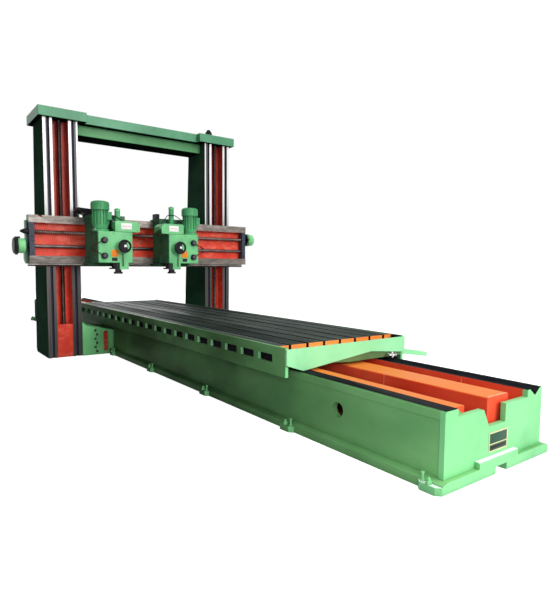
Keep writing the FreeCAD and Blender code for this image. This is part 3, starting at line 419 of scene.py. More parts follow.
@dataclass(frozen=True)
class HeightGradedWay:
    """A column's guideway: pale high up and darker towards the floor, with oil streaks and painted shade
    along its grooves.
    """

    name: str
    top: str = "#DAD8D6"
    middle: str = "#5B524B"
    foot: str = "#3A322F"
    stain: str = "#141112"
    groove: str = "#37353F"
    foot_z: float = 0.2
    change_low_z: float = 1.45
    change_high_z: float = 2.30
    groove_centres: Pair = (1.128, 1.500)
    groove_shade_half: float = 0.024
    groove_shade_fade: float = 0.006
    inner_edge: float = 1.31

    def build(self) -> bpy.types.Material:
        """Make the guideway's material.

        Returns:
            The material.
        """
        s = Surface(self.name)
        height = s.along(2)
        colour = s.mix(s.between(height, self.foot_z, self.change_low_z), self.foot, self.middle)
        colour = s.mix(s.between(height, self.change_low_z, self.change_high_z), colour, self.top)
        # Old oil has run down in long streaks, thicker towards the floor.
        stains = s.between(s.noise(34.0, (1.0, 1.0, 40.0)), 0.42, 0.58)
        fade = s.between(height, self.change_high_z + 0.5, self.change_low_z)
        colour = s.mix(s.times(stains, s.times(fade, 0.8)), colour, self.stain)
        # The groove in the middle of the way gets a painted shade that reaches a little over its edges.
        across = s.maths("ABSOLUTE", s.along(0))
        for centre in self.groove_centres:
            off = s.maths("ABSOLUTE", s.maths("SUBTRACT", across, centre))
            near = s.between(off, self.groove_shade_half + self.groove_shade_fade, self.groove_shade_half)
            colour = s.mix(near, colour, self.groove)
        # The way next to the work gets the most oil.
        inner = s.between(across, self.inner_edge, self.inner_edge - 0.01)
        lower = s.between(height, self.change_low_z + 0.1, self.change_low_z - 0.1)
        colour = s.mix(s.times(inner, lower, 0.6), colour, self.stain)
        normal = s.relief([(s.noise(18.0, (1.0, 1.0, 2.0), 2.0), 0.05)], 1.5)
        return s.finish(colour, 0.42, normal, 0.2)


@dataclass(frozen=True)
class TurnedSteel:
    """Carbon steel, turned on a lathe: a bright skin, clouded by a dull oil film."""

    name: str
    colour: str = "#8E8B88"
    film: str = "#3B3633"
    roughness: float = 0.34
    thread_pitch_mm: float = 0.0
    thread_axis: int = 2

    def build(self) -> bpy.types.Material:
        """Make the turned steel's material.

        Returns:
            The material.
        """
        s = Surface(self.name)
        colour = s.cloud(self.colour, self.film, 0.6, 120.0, (0.40, 0.72))
        layers = [(s.noise(2.5), 0.03)]
        if self.thread_pitch_mm > 0.0:
            # The thread is a bump of the real pitch along the bar, dark with oil in its root.
            half_pitch = self.thread_pitch_mm * MM / 2.0
            wave = s.maths("PINGPONG", s.along(self.thread_axis), half_pitch)
            flank = s.between(wave, 0.0, half_pitch)
            layers.append((flank, self.thread_pitch_mm * 0.3))
            colour = s.mix(s.between(flank, 0.45, 0.1), colour, self.film)
        return s.finish(colour, self.roughness, s.relief(layers), 1.0)


@dataclass(frozen=True)
class PlainSkin:
    """A label with no words, a filler or a cap: even colour, satin shine, faint handling marks."""

    name: str
    colour: str
    mark: str
    roughness: float = 0.45
    gloss: float = 0.18
    share: float = 0.35
    mark_mm: float = 18.0
    span: Pair = (0.52, 0.78)
    grain_mm: float = 6.0
    grain_depth_mm: float = 0.02
    edge_mm: float = 0.0

    def build(self) -> bpy.types.Material:
        """Make the skin's material.

        Returns:
            The material.
        """
        s = Surface(self.name)
        colour = s.cloud(self.colour, self.mark, self.share, self.mark_mm, self.span)
        normal = s.relief([(s.noise(self.grain_mm), self.grain_depth_mm)], self.edge_mm)
        return s.finish(colour, self.roughness, normal, 0.0, ENAMEL_IOR, self.gloss)


@dataclass(frozen=True)
class MouldedBlack(PlainSkin):
    """Phenolic, black-oxide or rubber parts: nearly black, with soft highlights and some dust."""

    colour: str = "#161619"
    mark: str = "#2E2D31"
    roughness: float = 0.40
    gloss: float = 0.10
    share: float = 0.5
    mark_mm: float = 60.0
    span: Pair = (0.45, 0.75)
    grain_mm: float = 4.0
    grain_depth_mm: float = 0.05
    edge_mm: float = 1.0


class Coat(Enum):
    """The machine's finishes."""

    # Green machine enamel, from the fresh coat on the bed's end to oily castings and darker copies of the
    # green that are painted shade.
    GREEN = BrushedEnamel("green_brushed_enamel", "#8BDD97", "#79CE88", "#35573D")
    # Painted highlight: the foot's level tops are painted almost white.
    FOOT = BrushedEnamel("green_foot_enamel", "#8BDD97", "#79CE88", "#35573D", lit_top="#F2FFF4")
    TROUGH = BrushedEnamel("pale_green_trough_enamel", "#A2EBB0", "#92DFA1", "#3E6448", dirt=0.15)
    # Painted shade, with oil: the long sides darken towards the columns.
    SIDE = BrushedEnamel(
        "green_side_enamel", "#8CCF88", "#79BB78", "#202E1C",
        soil_and_falloff_y=(-6.30, -3.5), soil_and_falloff_share=0.90, gloss=0.01,
    )
    HEAD = BrushedEnamel(
        "green_head_enamel", "#7ACD8B", "#66B97A", "#1C3024",
        patch_mm=260.0, shade_and_grime_reach_mm=45.0, edge_mm=2.0,
    )
    # Painted shade: a darker, dirtier copy of the head's green for its side faces away from the lamps.
    HEAD_SIDE = BrushedEnamel(
        "shaded_green_head_side_enamel", "#4C8060", "#3A674B", "#18261D",
        patch_mm=160.0, dirt=0.6, edge_mm=2.0, gloss=0.02,
    )
    # Painted shade: a darker copy of the green for the saddle, with some dirt.
    SADDLE = BrushedEnamel(
        "shaded_green_saddle_enamel", "#527F60", "#3F6A4E", "#1A261F", dirt=0.5, gloss=0.01
    )
    MOTOR = BrushedEnamel(
        "green_motor_enamel", "#55AE72", "#3F905A", "#10251A",
        shade_and_grime_reach_mm=30.0, edge_mm=1.5, dirt=0.35,
    )
    GEAR_COVER = BrushedEnamel(
        "green_gear_cover_enamel", "#57906D", "#437558", "#1B2C21", patch_mm=180.0
    )
    CROWN = BrushedEnamel("green_crown_enamel", "#5C9E77", "#508F6A", "#213A2B")
    TIE = BrushedEnamel("green_tie_beam_enamel", "#62A36C", "#559460", "#20382A", gloss=0.12)
    # Painted shade: a dark copy of the green for the columns, which the lamps barely reach.
    COLUMN = BrushedEnamel(
        "shaded_green_column_enamel", "#375746", "#2B4738", "#1E2018", roughness=0.6, gloss=0.0
    )
    # Painted shade, with oily dirt: a dark olive copy of the green for the faces behind the troughs' plates.
    APRON = BrushedEnamel(
        "shaded_apron_enamel", "#6C8A57", "#56744A", "#22301F", dirt=0.6, gloss=0.1
    )
    # Painted shade, over some oil, for faces that look down or lie deep, where little light gets.
    SHADED = BrushedEnamel(
        "shaded_underside_enamel", "#1A241D", "#141C17", "#0C100E", roughness=0.6, gloss=0.0
    )
    # Painted shade: dark olive for the rail's underside and the low faces behind the troughs' plates.
    OLIVE = BrushedEnamel(
        "shaded_olive_underside_enamel", "#2E3A2C", "#252F25", "#111510", roughness=0.5, gloss=0.1
    )
    # Painted shade: dark violet for the table's underside, inner faces and slides, and the spout's lower
    # faces.
    UNDERSIDE = BrushedEnamel(
        "shaded_violet_underside_enamel", "#2B2730", "#211E26", "#100E13", roughness=0.5, gloss=0.02
    )
    # Painted shade: dark grey-violet for the inside of the columns' way grooves.
    GROOVE = BrushedEnamel(
        "shaded_groove_enamel", "#35333F", "#2A2832", "#121116", roughness=0.5, gloss=0.1
    )
    SLATE = BrushedEnamel("slate_bearing_enamel", "#3C4150", "#333746", "#17181D", roughness=0.45)
    # Red and orange enamel on the raw castings' insides.
    RED = BrushedEnamel(
        "red_recess_enamel", "#F04F35", "#D93C29", "#7A2A1E", pale="#FA8E78",
        patch_mm=150.0, brush_mm=60.0, cast_mm=4.0,
    )
    COLUMN_RED = BrushedEnamel(
        "red_column_enamel", "#EE4C33", "#D03A2A", "#4E1F24", pale="#E8705C",
        brush_mm=60.0, cast_mm=2.6, darker_above_z=1.5,
    )
    # Painted light on the bed's inside: paler level tops, and painted shade low in the casting.
    BED_RED = BrushedEnamel(
        "red_bed_interior_enamel", "#FF6040", "#EE472C", "#5A1A12", lit_top="#EC8338",
        shade_below_z=0.42, gloss=0.04,
    )
    ORANGE = BrushedEnamel("orange_trough_enamel", "#F39A4C", "#E8873A", "#7A4420")
    # Guideways and planed faces.
    RAIL_WAY = ScrapedIron(
        "scraped_rail_way", "#8A8179", "#635B54", "#37302C", metallic=0.4, run=(4.0, 1.0, 1.0)
    )
    FOOT_FACE = ScrapedIron(
        "scraped_foot_face", "#C4BEB6", "#9B938B", "#3B3430", metallic=0.3, run=(3.0, 1.0, 1.0)
    )
    TABLE_TOP = ScrapedIron(
        "planed_table_top", "#404D46", "#212926", "#151718", roughness=0.55, metallic=0.0,
        frost_mm=34.0, run=(1.0, 16.0, 1.0), stain_share=0.6, gloss=0.015,
    )
    BED_WAY = ScrapedIron(
        "oiled_bed_way", "#25272B", "#17181B", "#0B0C0E", roughness=0.6, metallic=0.0,
        run=(1.0, 6.0, 1.0), gloss=0.02,
    )
    COLUMN_WAY = HeightGradedWay("height_graded_column_way")
    # Turned and black-oxide steel.
    STEEL = TurnedSteel("turned_steel")
    LIFT_SCREW = TurnedSteel("threaded_lift_screw", "#5C5754", "#241F1D", thread_pitch_mm=24.0)
    FEED_SCREW = TurnedSteel(
        "threaded_feed_screw", "#A3948C", "#2E2725", thread_pitch_mm=24.0, thread_axis=0
    )
    FEED_SHAFT = TurnedSteel("oiled_feed_shaft", "#5F5857", "#241F1F", 0.42)
    BOLT = TurnedSteel("black_oxide_bolt", "#3A383A", "#161516", 0.42)
    CHROME = TurnedSteel("polished_hub_steel", "#D8D8DA", "#8E8E92", 0.16)
    # Mouldings, labels and fillers.
    BLACK = MouldedBlack("black_phenolic")
    RUBBER = MouldedBlack("black_hose_rubber", "#1B1C1E", "#34363A", 0.6)
    WHITE_PLATE = PlainSkin("white_label_plate", "#F4F2EF", "#D9CFC9")
    RED_BAND = PlainSkin("faded_red_print", "#E7A9A6", "#D88F8C")
    ORANGE_PLATE = PlainSkin("orange_label_plate", "#EE8A26", "#B9641A")
    BLACK_PLATE = PlainSkin("black_label_plate", "#0E0F0E", "#1D1E1C")
    NAME_FIELD = PlainSkin("green_name_plate_field", "#1F4A38", "#2F5C49")
    NAME_EDGE = PlainSkin("cream_name_plate_edge", "#D9D3A4", "#B5AC7C")
    # Pale filler for the bed's joints, also used for the painted highlight on the centre box's rim.
    FILLER = PlainSkin("pale_filler_and_highlight", "#F6B9A0", "#E79A80")
    GREY_CAP = PlainSkin("grey_knob_cap", "#4E4B57", "#3B3942")

    def get(self) -> bpy.types.Material:
        """Give this finish's material, made once."""
        made = bpy.data.materials.get(self.value.name)
        return made if made is not None else self.value.build()


Rule = tuple[Callable[[Vector, Vector], bool], Coat]


def dress(node: str, rules: Sequence[Rule], rest: Coat) -> None:
    """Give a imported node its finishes, face by face.

    Args:
        node: Name of the node.
        rules: Pairs of a test on a face's centre and normal, and the finish it gets.
        rest: Finish of every face that no test picks.
    """
    mesh = NODES[node].data
    mesh.materials.clear()
    for coat in [rest] + [coat for _, coat in rules]:
        mesh.materials.append(coat.get())
    for face in mesh.polygons:
        face.material_index = 0
        for i, (test, _) in enumerate(rules):
            if test(face.center, face.normal):
                face.material_index = i + 1
                break


# Pieces


class Draft:
    """A working mesh that becomes one named piece on one of the machine's bodies."""

    def __init__(self, name: str, body: str, coat: Coat, slot: str, smooth_deg: float = 35.0) -> None:
        """Start an empty piece.

        Args:
            name: Name of the piece.
            body: Body that carries it.
            coat: Its finish.
            slot: The record's material slot; kept, but not used.
            smooth_deg: Largest edge angle that is shaded smooth.
        """
        self.name = name
        self.body = body
        self.coat = coat
        self.slot = slot
        self.smooth_deg = smooth_deg
        self.mesh = bmesh.new()

    def turned(
        self, base: Sequence[float], axis: Vector, profile: Profile, sides: int = 24, turn: float = 0.0
    ) -> None:
        """Add a solid of revolution.

        Args:
            base: Point on the axis where the profile's height is zero.
            axis: Direction of the axis.
            profile: Pairs of radius and height, from one end to the other.
            sides: Number of sides.
            turn: Angle of the first side, in radians.
        """
        foot = Vector(base)
        rotation = axis.to_track_quat("Z", "Y").to_matrix()
        rings = []
        for radius, height in profile:
            ring = []
            for i in range(sides):
                angle = turn + 2.0 * math.pi * i / sides
                point = Vector((radius * math.cos(angle), radius * math.sin(angle), height))
                ring.append(self.mesh.verts.new(foot + rotation @ point))
            rings.append(ring)
        self.skin(rings)
        self.mesh.faces.new(list(reversed(rings[0])))
        self.mesh.faces.new(rings[-1])

    def skin(self, rings: Sequence[Sequence[bmesh.types.BMVert]]) -> None:
        """Join rings of points, each to the next, with four-sided faces.

        Args:
            rings: The rings, all with the same number of points.
        """
        for here, ahead in zip(rings, rings[1:]):
            for i in range(len(here)):
                j = (i + 1) % len(here)
                self.mesh.faces.new((here[i], here[j], ahead[j], ahead[i]))

    def block(
        self, one: Sequence[float], other: Sequence[float], bevel: float, spin: Matrix | None = None
    ) -> None:
        """Add a block with rounded edges.

        Args:
            one: One of its corners.
            other: The corner across from it.
            bevel: Radius of its edges.
            spin: Rotation about the block's centre, if any.
        """
        a, b = Vector(one), Vector(other)
        low, high = Vector(map(min, a, b)), Vector(map(max, a, b))
        size = high - low
        matrix = Matrix.Translation((low + high) / 2.0) @ (spin or Matrix.Identity(3)).to_4x4()
        matrix = matrix @ Matrix.Diagonal((size.x, size.y, size.z, 1.0))
        made = bmesh.ops.create_cube(self.mesh, size=1.0, matrix=matrix)
        edges = {edge for vert in made["verts"] for edge in vert.link_edges}
        bmesh.ops.bevel(
            self.mesh, geom=list(edges), offset=bevel, segments=2, affect="EDGES", profile=0.6
        )

    def bolt(self, base: Sequence[float], axis: Vector, across: float, turn: float = 0.0) -> None:
        """Add a washer and a chamfered hexagon head.

        Args:
            base: Point on the seat, under the washer.
            axis: Direction in which the head stands proud.
            across: Width across the hexagon's flats.
            turn: Angle of the hexagon, in radians.
        """
        corner = across / math.sqrt(3.0)
        washer = across * 0.62
        thick = across * 0.12
        top = thick + across * 0.55
        self.turned(base, axis, [(washer, 0.0), (washer, thick)], 20)
        head = [(corner, thick), (corner, top - across * 0.10), (corner * 0.86, top)]
        self.turned(base, axis, head, 6, turn)

    def cap_screw(self, base: Sequence[float], axis: Vector, radius: float) -> None:
        """Add a cap screw's head with its socket."""
        shares = [(1.0, 0.0), (1.0, 0.85), (0.88, 1.0), (0.50, 1.0), (0.46, 0.4)]
        self.turned(base, axis, [(radius * r, radius * h) for r, h in shares], 16)

    def ring(
        self, centre: Vector, axis: Vector, radius: float, thick: float, around: int = 48, section: int = 14
    ) -> None:
        """Add a ring of round section.

        Args:
            centre: Centre of the ring.
            axis: Direction of its axis.
            radius: Radius of the ring's middle line.
            thick: Radius of its section.
            around: Number of sections along the ring.
            section: Number of points around one section.
        """
        rotation = axis.to_track_quat("Z", "Y").to_matrix()
        rings = []
        for i in range(around):
            turn = 2.0 * math.pi * i / around
            out = Vector((math.cos(turn), math.sin(turn), 0.0))
            ring = []
            for j in range(section):
                angle = 2.0 * math.pi * j / section
                point = out * (radius + thick * math.cos(angle)) + UP * (thick * math.sin(angle))
                ring.append(self.mesh.verts.new(centre + rotation @ point))
            rings.append(ring)
        self.skin([*rings, rings[0]])

    def sector(
        self, centre: Vector, radii: Pair, degrees: Pair, half_thick: float
    ) -> None:
        """Add a flat sector of a wheel's web, in the XZ plane.

        Args:
            centre: Centre of the wheel.
            radii: Inner and outer radius.
            degrees: Start and end angle, from X towards Z.
            half_thick: Half of the web's thickness.
        """
        steps = 14
        inner, outer = radii
        columns = []
        for i in range(steps + 1):
            angle = math.radians(degrees[0] + (degrees[1] - degrees[0]) * i / steps)
            out = Vector((math.cos(angle), 0.0, math.sin(angle)))
            corners = []
            for radius, side in ((inner, 1.0), (outer, 1.0), (outer, -1.0), (inner, -1.0)):
                corners.append(self.mesh.verts.new(centre + out * radius + AHEAD * (side * half_thick)))
            columns.append(corners)
        self.skin(columns)
        self.mesh.faces.new(list(reversed(columns[0])))
        self.mesh.faces.new(columns[-1])

    def close(self) -> None:
        """Turn the working mesh into the piece, on its body and with its finish."""
        bmesh.ops.recalc_face_normals(self.mesh, faces=self.mesh.faces)
        data = bpy.data.meshes.new(self.name)
        self.mesh.to_mesh(data)
        self.mesh.free()
        piece = bpy.data.objects.new(self.name, data)
        bpy.context.scene.collection.objects.link(piece)
        data.materials.append(self.coat.get())
        data.shade_smooth()
        data.set_sharp_from_angle(angle=math.radians(self.smooth_deg))
        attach(piece, self.body)


# Sub-assemblies


@dataclass
class Bed:
    """The bed with its guideways, red interior, anchor lugs and name plate."""

    foot_overhang: float = 0.040
    foot_reach: float = 0.12
    foot_top_z: float = 0.13
    inner_half_width: float = 0.55
    ledge_x: float = -0.469
    flat_seat_x: float = -0.45
    flat_seat_z: float = 0.517
    vee_seat_x: float = 0.398
    vee_seat_z: float = 0.46
    pocket_x: Pair = (0.67, 0.77)
    pocket_z: Pair = (0.05, 0.38)
    pocket_front_y: float = -0.01
    coat_thick: float = 0.0006
    coat_bevel: float = 0.0002
    lug_pitch: float = 1.5
    lug_from_end: float = 0.056
    lug_reach: float = 0.020
    lug_height: float = 0.054
    nut_across: float = 0.034
    nut_turn: float = 0.3
    stud: Profile = ((0.011, 0.0), (0.011, 0.040), (0.0088, 0.043))
    jack_offset: Pair = (0.012, 0.058)
    jack_shank: Profile = ((0.016, 0.0), (0.016, 0.010), (0.009, 0.011), (0.009, 0.048))
    jack_head: Profile = ((0.013, 0.0), (0.013, 0.014))
    plate_low: Pair = (-0.106, 0.146)
    plate_high: Pair = (0.130, 0.287)
    plate_recess: float = 0.038
    plate_thick: float = 0.004
    plate_edge: float = 0.010
    plate_divide: Pair = (0.052, 0.060)
    field_thick: float = 0.0024
    bar_thick: float = 0.0036
    bar_inset: float = 0.022
    bar_rows: Pair = (0.022, 0.040)
    rivet: Profile = ((0.004, 0.0), (0.003, 0.002))
    joint_rows: Pair = (-5.238, -5.700)
    joint_half: float = 0.002
    joint_depth: float = 0.13
    vee_joint_z: Pair = (0.40, 0.505)
    line_half_thick: float = 0.0008
    highlight_dash_count: int = 12
    highlight_margin: float = 0.01
    wing_bolt_count: int = 6
    wing_bolt_x: float = 0.874
    wing_bolt_stagger: float = 0.014
    wing_bolt_low_z: float = 0.055
    wing_bolt_pitch: float = 0.066
    wing_bolt_across: float = 0.026

    def lug_rows(self) -> list[float]:
        """Give the lugs' places along the bed.

        Returns:
            Each lug row's Y.
        """
        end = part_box("bed_end_walls")[1].y
        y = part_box("bed_side_walls")[0].y - self.foot_overhang + self.lug_from_end
        rows = []
        while y < end:
            rows.append(y)
            y += self.lug_pitch
        return rows

    def finish_castings(self) -> None:
        """Paint the bed's castings and oil its ways."""
        half = self.inner_half_width
        foot_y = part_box("bed_side_walls")[0].y + self.foot_reach
        flat_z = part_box("flat_bed_way")[1].z - ON_PLANE
        end_low, end_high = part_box("bed_end_walls")
        middle = (end_low.y + end_high.y) / 2.0
        x0, x1 = self.pocket_x
        z0, z1 = self.pocket_z
        dress("bed_side_walls", [(lambda c, n: abs(c.x) < half, Coat.BED_RED)], Coat.SIDE)
        dress("bed_floor", [(lambda c, n: n.y < -LEANING or c.y < foot_y, Coat.FOOT)], Coat.SIDE)
        dress("bed_centre_box", [], Coat.BED_RED)
        dress("flat_bed_way", [
            (lambda c, n: n.z > SQUARE and c.z > flat_z, Coat.BED_WAY),
            (lambda c, n: c.x > self.ledge_x and n.x > -LEANING, Coat.BED_RED),
        ], Coat.SIDE)
        dress("vee_bed_way", [
            (lambda c, n: n.z > SLOPED and c.z > self.vee_seat_z, Coat.BED_WAY),
            (lambda c, n: n.x < -LEANING or n.z < -LEANING, Coat.BED_RED),
        ], Coat.SIDE)
        dress("bed_end_walls", [
            (lambda c, n: n.z > SLOPED and c.z > self.flat_seat_z and c.x < self.flat_seat_x, Coat.BED_WAY),
            (lambda c, n: n.z > SLOPED and c.z > self.vee_seat_z and c.x > self.vee_seat_x, Coat.BED_WAY),
            (lambda c, n: abs(n.y) > SQUARE and (c.y - middle) * n.y < 0.0, Coat.BED_RED),
            (lambda c, n: c.z < self.foot_top_z, Coat.FOOT),
        ], Coat.GREEN)
        dress("bed_wings", [
            (lambda c, n: n.y < -SQUARE and c.y > self.pocket_front_y
             and z0 < c.z < z1 and x0 < abs(c.x) < x1, Coat.RED),
        ], Coat.GREEN)

    def floor_coat(self) -> None:
        """Lay the red coat over the bed's floor, between the end walls."""
        low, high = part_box("bed_side_walls")
        half = self.inner_half_width - ON_PLANE
        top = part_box("bed_floor")[1].z
        coat = Draft("bed_floor_red_coat", "frame", Coat.BED_RED, "red_primer")
        coat.block((-half, low.y, top), (half, high.y, top + self.coat_thick), self.coat_bevel)
        coat.close()

    def jack_screws(self) -> None:
        """Add the levelling screw and the anchor nut on every lug."""
        jacks = Draft("bed_levelling_screws", "frame", Coat.GREEN, "green_enamel")
        nuts = Draft("bed_anchor_nuts", "frame", Coat.GREEN, "green_enamel")
        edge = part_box("bed_floor")[1].x - self.lug_reach
        across, back = self.jack_offset
        for row, y in enumerate(self.lug_rows()):
            for side in SIDES:
                seat = Vector((side * edge, y, self.lug_height))
                nuts.bolt(seat, UP, self.nut_across, self.nut_turn)
                nuts.turned(seat, UP, self.stud, 16)
                # The first row's screws stand behind the nuts, all others in front of them.
                jack_y = y + back if row == 0 else y - back
                jack = Vector((side * (edge - across), jack_y, self.lug_height))
                jacks.turned(jack, UP, self.jack_shank, 18)
                jacks.turned(jack + UP * self.jack_shank[-1][1], UP, self.jack_head, 4, 0.5)
        jacks.close()
        nuts.close()

    def name_plate(self) -> None:
        """Add the plate on the bed's end, with empty fields and four rivets."""
        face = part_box("bed_end_walls")[0].y + self.plate_recess
        x0, z0 = self.plate_low
        x1, z1 = self.plate_high
        e = self.plate_edge
        t = self.plate_thick
        divide_low, divide_high = self.plate_divide
        edge = Draft("name_plate_edge", "frame", Coat.NAME_EDGE, "green_enamel")
        for left, bottom, right, top in (
            (x0, z0, x1, z0 + e),
            (x0, z1 - e, x1, z1),
            (x0, z0 + e, x0 + e, z1 - e),
            (x1 - e, z0 + e, x1, z1 - e),
            (x0 + e, z0 + divide_low, x1 - e, z0 + divide_high),
        ):
            edge.block((left, face - t, bottom), (right, face, top), t * 0.3)
        for x in (x0 + e / 2.0, x1 - e / 2.0):
            for z in (z0 + e / 2.0, z1 - e / 2.0):
                edge.turned((x, face - t, z), AHEAD, self.rivet, 12)
        plate = Draft("name_plate_field", "frame", Coat.NAME_FIELD, "green_enamel")
        plate.block((x0 + e, face - self.field_thick, z0 + e), (x1 - e, face, z1 - e), t * 0.2)
        bar = Draft("name_plate_bar", "frame", Coat.BLACK_PLATE, "green_enamel")
        bar.block(
            (x0 + self.bar_inset, face - self.bar_thick, z0 + self.bar_rows[0]),
            (x1 - self.bar_inset, face - self.field_thick, z0 + self.bar_rows[1]),
            t * 0.1,
        )
        edge.close()
        plate.close()
        bar.close()

    def interior_lines(self) -> None:
        """Add the filled joints in the red interior, and a painted highlight along the centre box's near
        rim.
        """
        low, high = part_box("bed_centre_box")
        vee_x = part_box("vee_bed_way")[0].x
        t = self.line_half_thick
        w = self.joint_half
        y0, y1 = self.joint_rows
        z0, z1 = self.vee_joint_z
        lines = Draft("bed_joint_lines", "frame", Coat.FILLER, "red_primer")
        lines.block((low.x - t, y0 - w, high.z - self.joint_depth), (low.x + t, y0 + w, high.z - w), t * 0.4)
        lines.block((vee_x - t, y1 - w, z0), (vee_x + t, y1 + w, z1), t * 0.4)
        lines.close()
        rim = Draft("centre_box_rim_highlight", "frame", Coat.FILLER, "red_primer")
        step = (high.x - low.x - 2.0 * self.highlight_margin) / self.highlight_dash_count
        near = low.y + self.joint_half
        for i in range(self.highlight_dash_count):
            # The highlight's dashes differ in reach and width, in a fixed order.
            x = low.x + self.highlight_margin + step * (i + 0.5)
            reach = 0.004 + 0.005 * ((i * 7) % 5) / 4.0
            half = step * (0.30 + 0.16 * ((i * 3) % 4) / 3.0)
            rim.block((x - half, near, high.z - t), (x + half, near + reach * 2.0, high.z + t), t * 0.4)
        rim.close()

    def wing_bolts(self) -> None:
        """Add the bolts along both joints between the bed's wings and the columns."""
        bolts = Draft("wing_joint_bolts", "frame", Coat.BOLT, "black_enamel")
        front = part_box("bed_wings")[0].y
        for side in SIDES:
            for i in range(self.wing_bolt_count):
                stagger = self.wing_bolt_stagger if i % 2 else -self.wing_bolt_stagger
                z = self.wing_bolt_low_z + self.wing_bolt_pitch * i
                seat = (side * (self.wing_bolt_x + stagger), front, z)
                bolts.bolt(seat, AHEAD, self.wing_bolt_across, 0.4 * i)
        bolts.close()

    def build(self) -> None:
        """Finish the bed and add its hardware."""
        self.finish_castings()
        self.floor_coat()
        self.jack_screws()
        self.name_plate()
        self.interior_lines()
        self.wing_bolts()


@dataclass
class Columns:
    """The two columns with their guideways and elevating screws, and the crown above."""

    recess_back_y: float = 0.17
    foot_panel_z: float = 1.0
    way_face_depth: float = 0.002
    groove_depth: float = 0.030
    recess_x: Pair = (1.19, 1.46)
    screw_radius: float = 0.028
    collar: Profile = ((0.033, 0.0), (0.033, 0.012), (0.030, 0.020))

    def build(self) -> None:
        """Finish the columns and the crown."""
        back = self.recess_back_y
        x0, x1 = self.recess_x
        # The column castings get COLUMN, a dark copy of the green that is painted shade.
        for node in ("left_column", "right_column"):
            dress(node, [
                (lambda c, n: n.y < -SQUARE and c.y < back, Coat.COLUMN_RED),
                (lambda c, n: n.z > SQUARE and c.y < back and c.z < self.foot_panel_z, Coat.COLUMN_RED),
            ], Coat.COLUMN)
        dress("column_ways", [
            (lambda c, n: n.y < -SQUARE and c.y < self.way_face_depth, Coat.COLUMN_WAY),
            # The grooves get GROOVE's painted shade.
            (lambda c, n: ON_PLANE < c.y < self.groove_depth, Coat.GROOVE),
            (lambda c, n: abs(n.x) > SQUARE and x0 < abs(c.x) < x1, Coat.COLUMN_RED),
        ], Coat.COLUMN)
        dress("elevating_screws", [], Coat.LIFT_SCREW)
        # Faces that look down get SHADED's painted shade.
        for node, coat in (("column_caps", Coat.CROWN), ("crown_beam", Coat.CROWN), ("tie_beam", Coat.TIE)):
            dress(node, [(lambda c, n: n.z < -SQUARE, Coat.SHADED)], coat)
        dress("lift_gear_cap", [], Coat.BLACK)
        self.collars()

    def collars(self) -> None:
        """Add the collars in which the elevating screws end."""
        collars = Draft("elevating_screw_collars", "frame", Coat.BOLT, "black_enamel")
        low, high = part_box("elevating_screws")
        x = (high.x - low.x) / 2.0 - self.screw_radius
        for side in SIDES:
            collars.turned((side * x, (low.y + high.y) / 2.0, low.z), UP, self.collar, 28)
        collars.close()


@dataclass
class WorkTable:
    """The travelling table: T-slotted top, windowed sides, coolant troughs and spout."""

    trough_reach: float = 0.134
    pan_z: Pair = (0.60, 0.70)
    apron_top_z: float = 0.66
    valve_x: float = 0.548
    valve_top_z: float = 0.590
    valve_ahead: float = 0.012
    valve_body: Profile = (
        (0.013, 0.0), (0.013, 0.018), (0.023, 0.020), (0.023, 0.044), (0.012, 0.047), (0.012, 0.060)
    )
    valve_arm_drop: float = 0.032
    valve_arm_out: float = 0.014
    valve_knob: Profile = ((0.008, 0.0), (0.008, 0.026), (0.024, 0.028), (0.026, 0.036), (0.021, 0.043))
    valve_outlet: Profile = ((0.012, 0.0), (0.012, 0.026), (0.018, 0.027), (0.018, 0.038), (0.014, 0.040))

    def build(self) -> None:
        """Finish the table and add its fittings."""
        low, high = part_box("table_top")
        near, far = low.y, high.y
        top = high.z - ON_PLANE
        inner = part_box("table_base")[1].x + ON_PLANE
        plate_y = near - self.trough_reach
        pan_low, pan_high = self.pan_z
        dress("table_top", [
            (lambda c, n: abs(n.y) > SQUARE, Coat.ORANGE),
            (lambda c, n: n.z > SQUARE and c.z > top, Coat.TABLE_TOP),
        ], Coat.BED_WAY)
        # The table's base, apart from its ends, gets UNDERSIDE's painted shade.
        dress("table_base", [(lambda c, n: abs(n.y) > SQUARE, Coat.ORANGE)], Coat.UNDERSIDE)
        for node in ("table_left_side", "table_right_side"):
            dress(node, [
                # Inner faces of the sides get UNDERSIDE's painted shade.
                (lambda c, n: abs(c.x) < inner and near < c.y < far, Coat.UNDERSIDE),
                (lambda c, n: abs(n.y) > SQUARE and c.y < near, Coat.GREEN),
                (lambda c, n: n.y < -LEANING and near < c.y < far, Coat.TROUGH),
            ], Coat.SIDE)
        # The slides get UNDERSIDE's painted shade.
        dress("table_slides", [], Coat.UNDERSIDE)
        for node in ("near_trough", "far_trough"):
            dress(node, [
                (lambda c, n: n.z > SQUARE and pan_low < c.z < pan_high, Coat.ORANGE),
                # Faces behind the plate get painted shade: OLIVE low down, APRON on faces that look ahead.
                (lambda c, n: plate_y + ON_PLANE < c.y < far and c.z < self.apron_top_z, Coat.OLIVE),
                (lambda c, n: n.y < -SQUARE and plate_y - ON_PLANE < c.y < near, Coat.APRON),
            ], Coat.TROUGH)
        # The spout's lower faces get UNDERSIDE's painted shade.
        dress("drain_spout", [(lambda c, n: n.z < -LEANING, Coat.UNDERSIDE)], Coat.TROUGH)
        self.drain_valve()

    def drain_valve(self) -> None:
        """Hang the small plated valve under the near trough, clear of the bed's ways."""
        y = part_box("near_trough")[0].y - self.valve_ahead
        x, top, arm_out = self.valve_x, self.valve_top_z, self.valve_arm_out
        arm_z = top - self.valve_arm_drop
        out = Vector((-1.0, 0.0, 0.0))
        valve = Draft("drain_valve", "table", Coat.CHROME, "bright_steel", 20.0)
        valve.turned((x, y, top), -UP, self.valve_body, 6)
        valve.turned((x - arm_out, y, arm_z), out, self.valve_knob, 7)
        valve.turned((x + arm_out, y, arm_z), -out, self.valve_outlet, 8)
        valve.close()


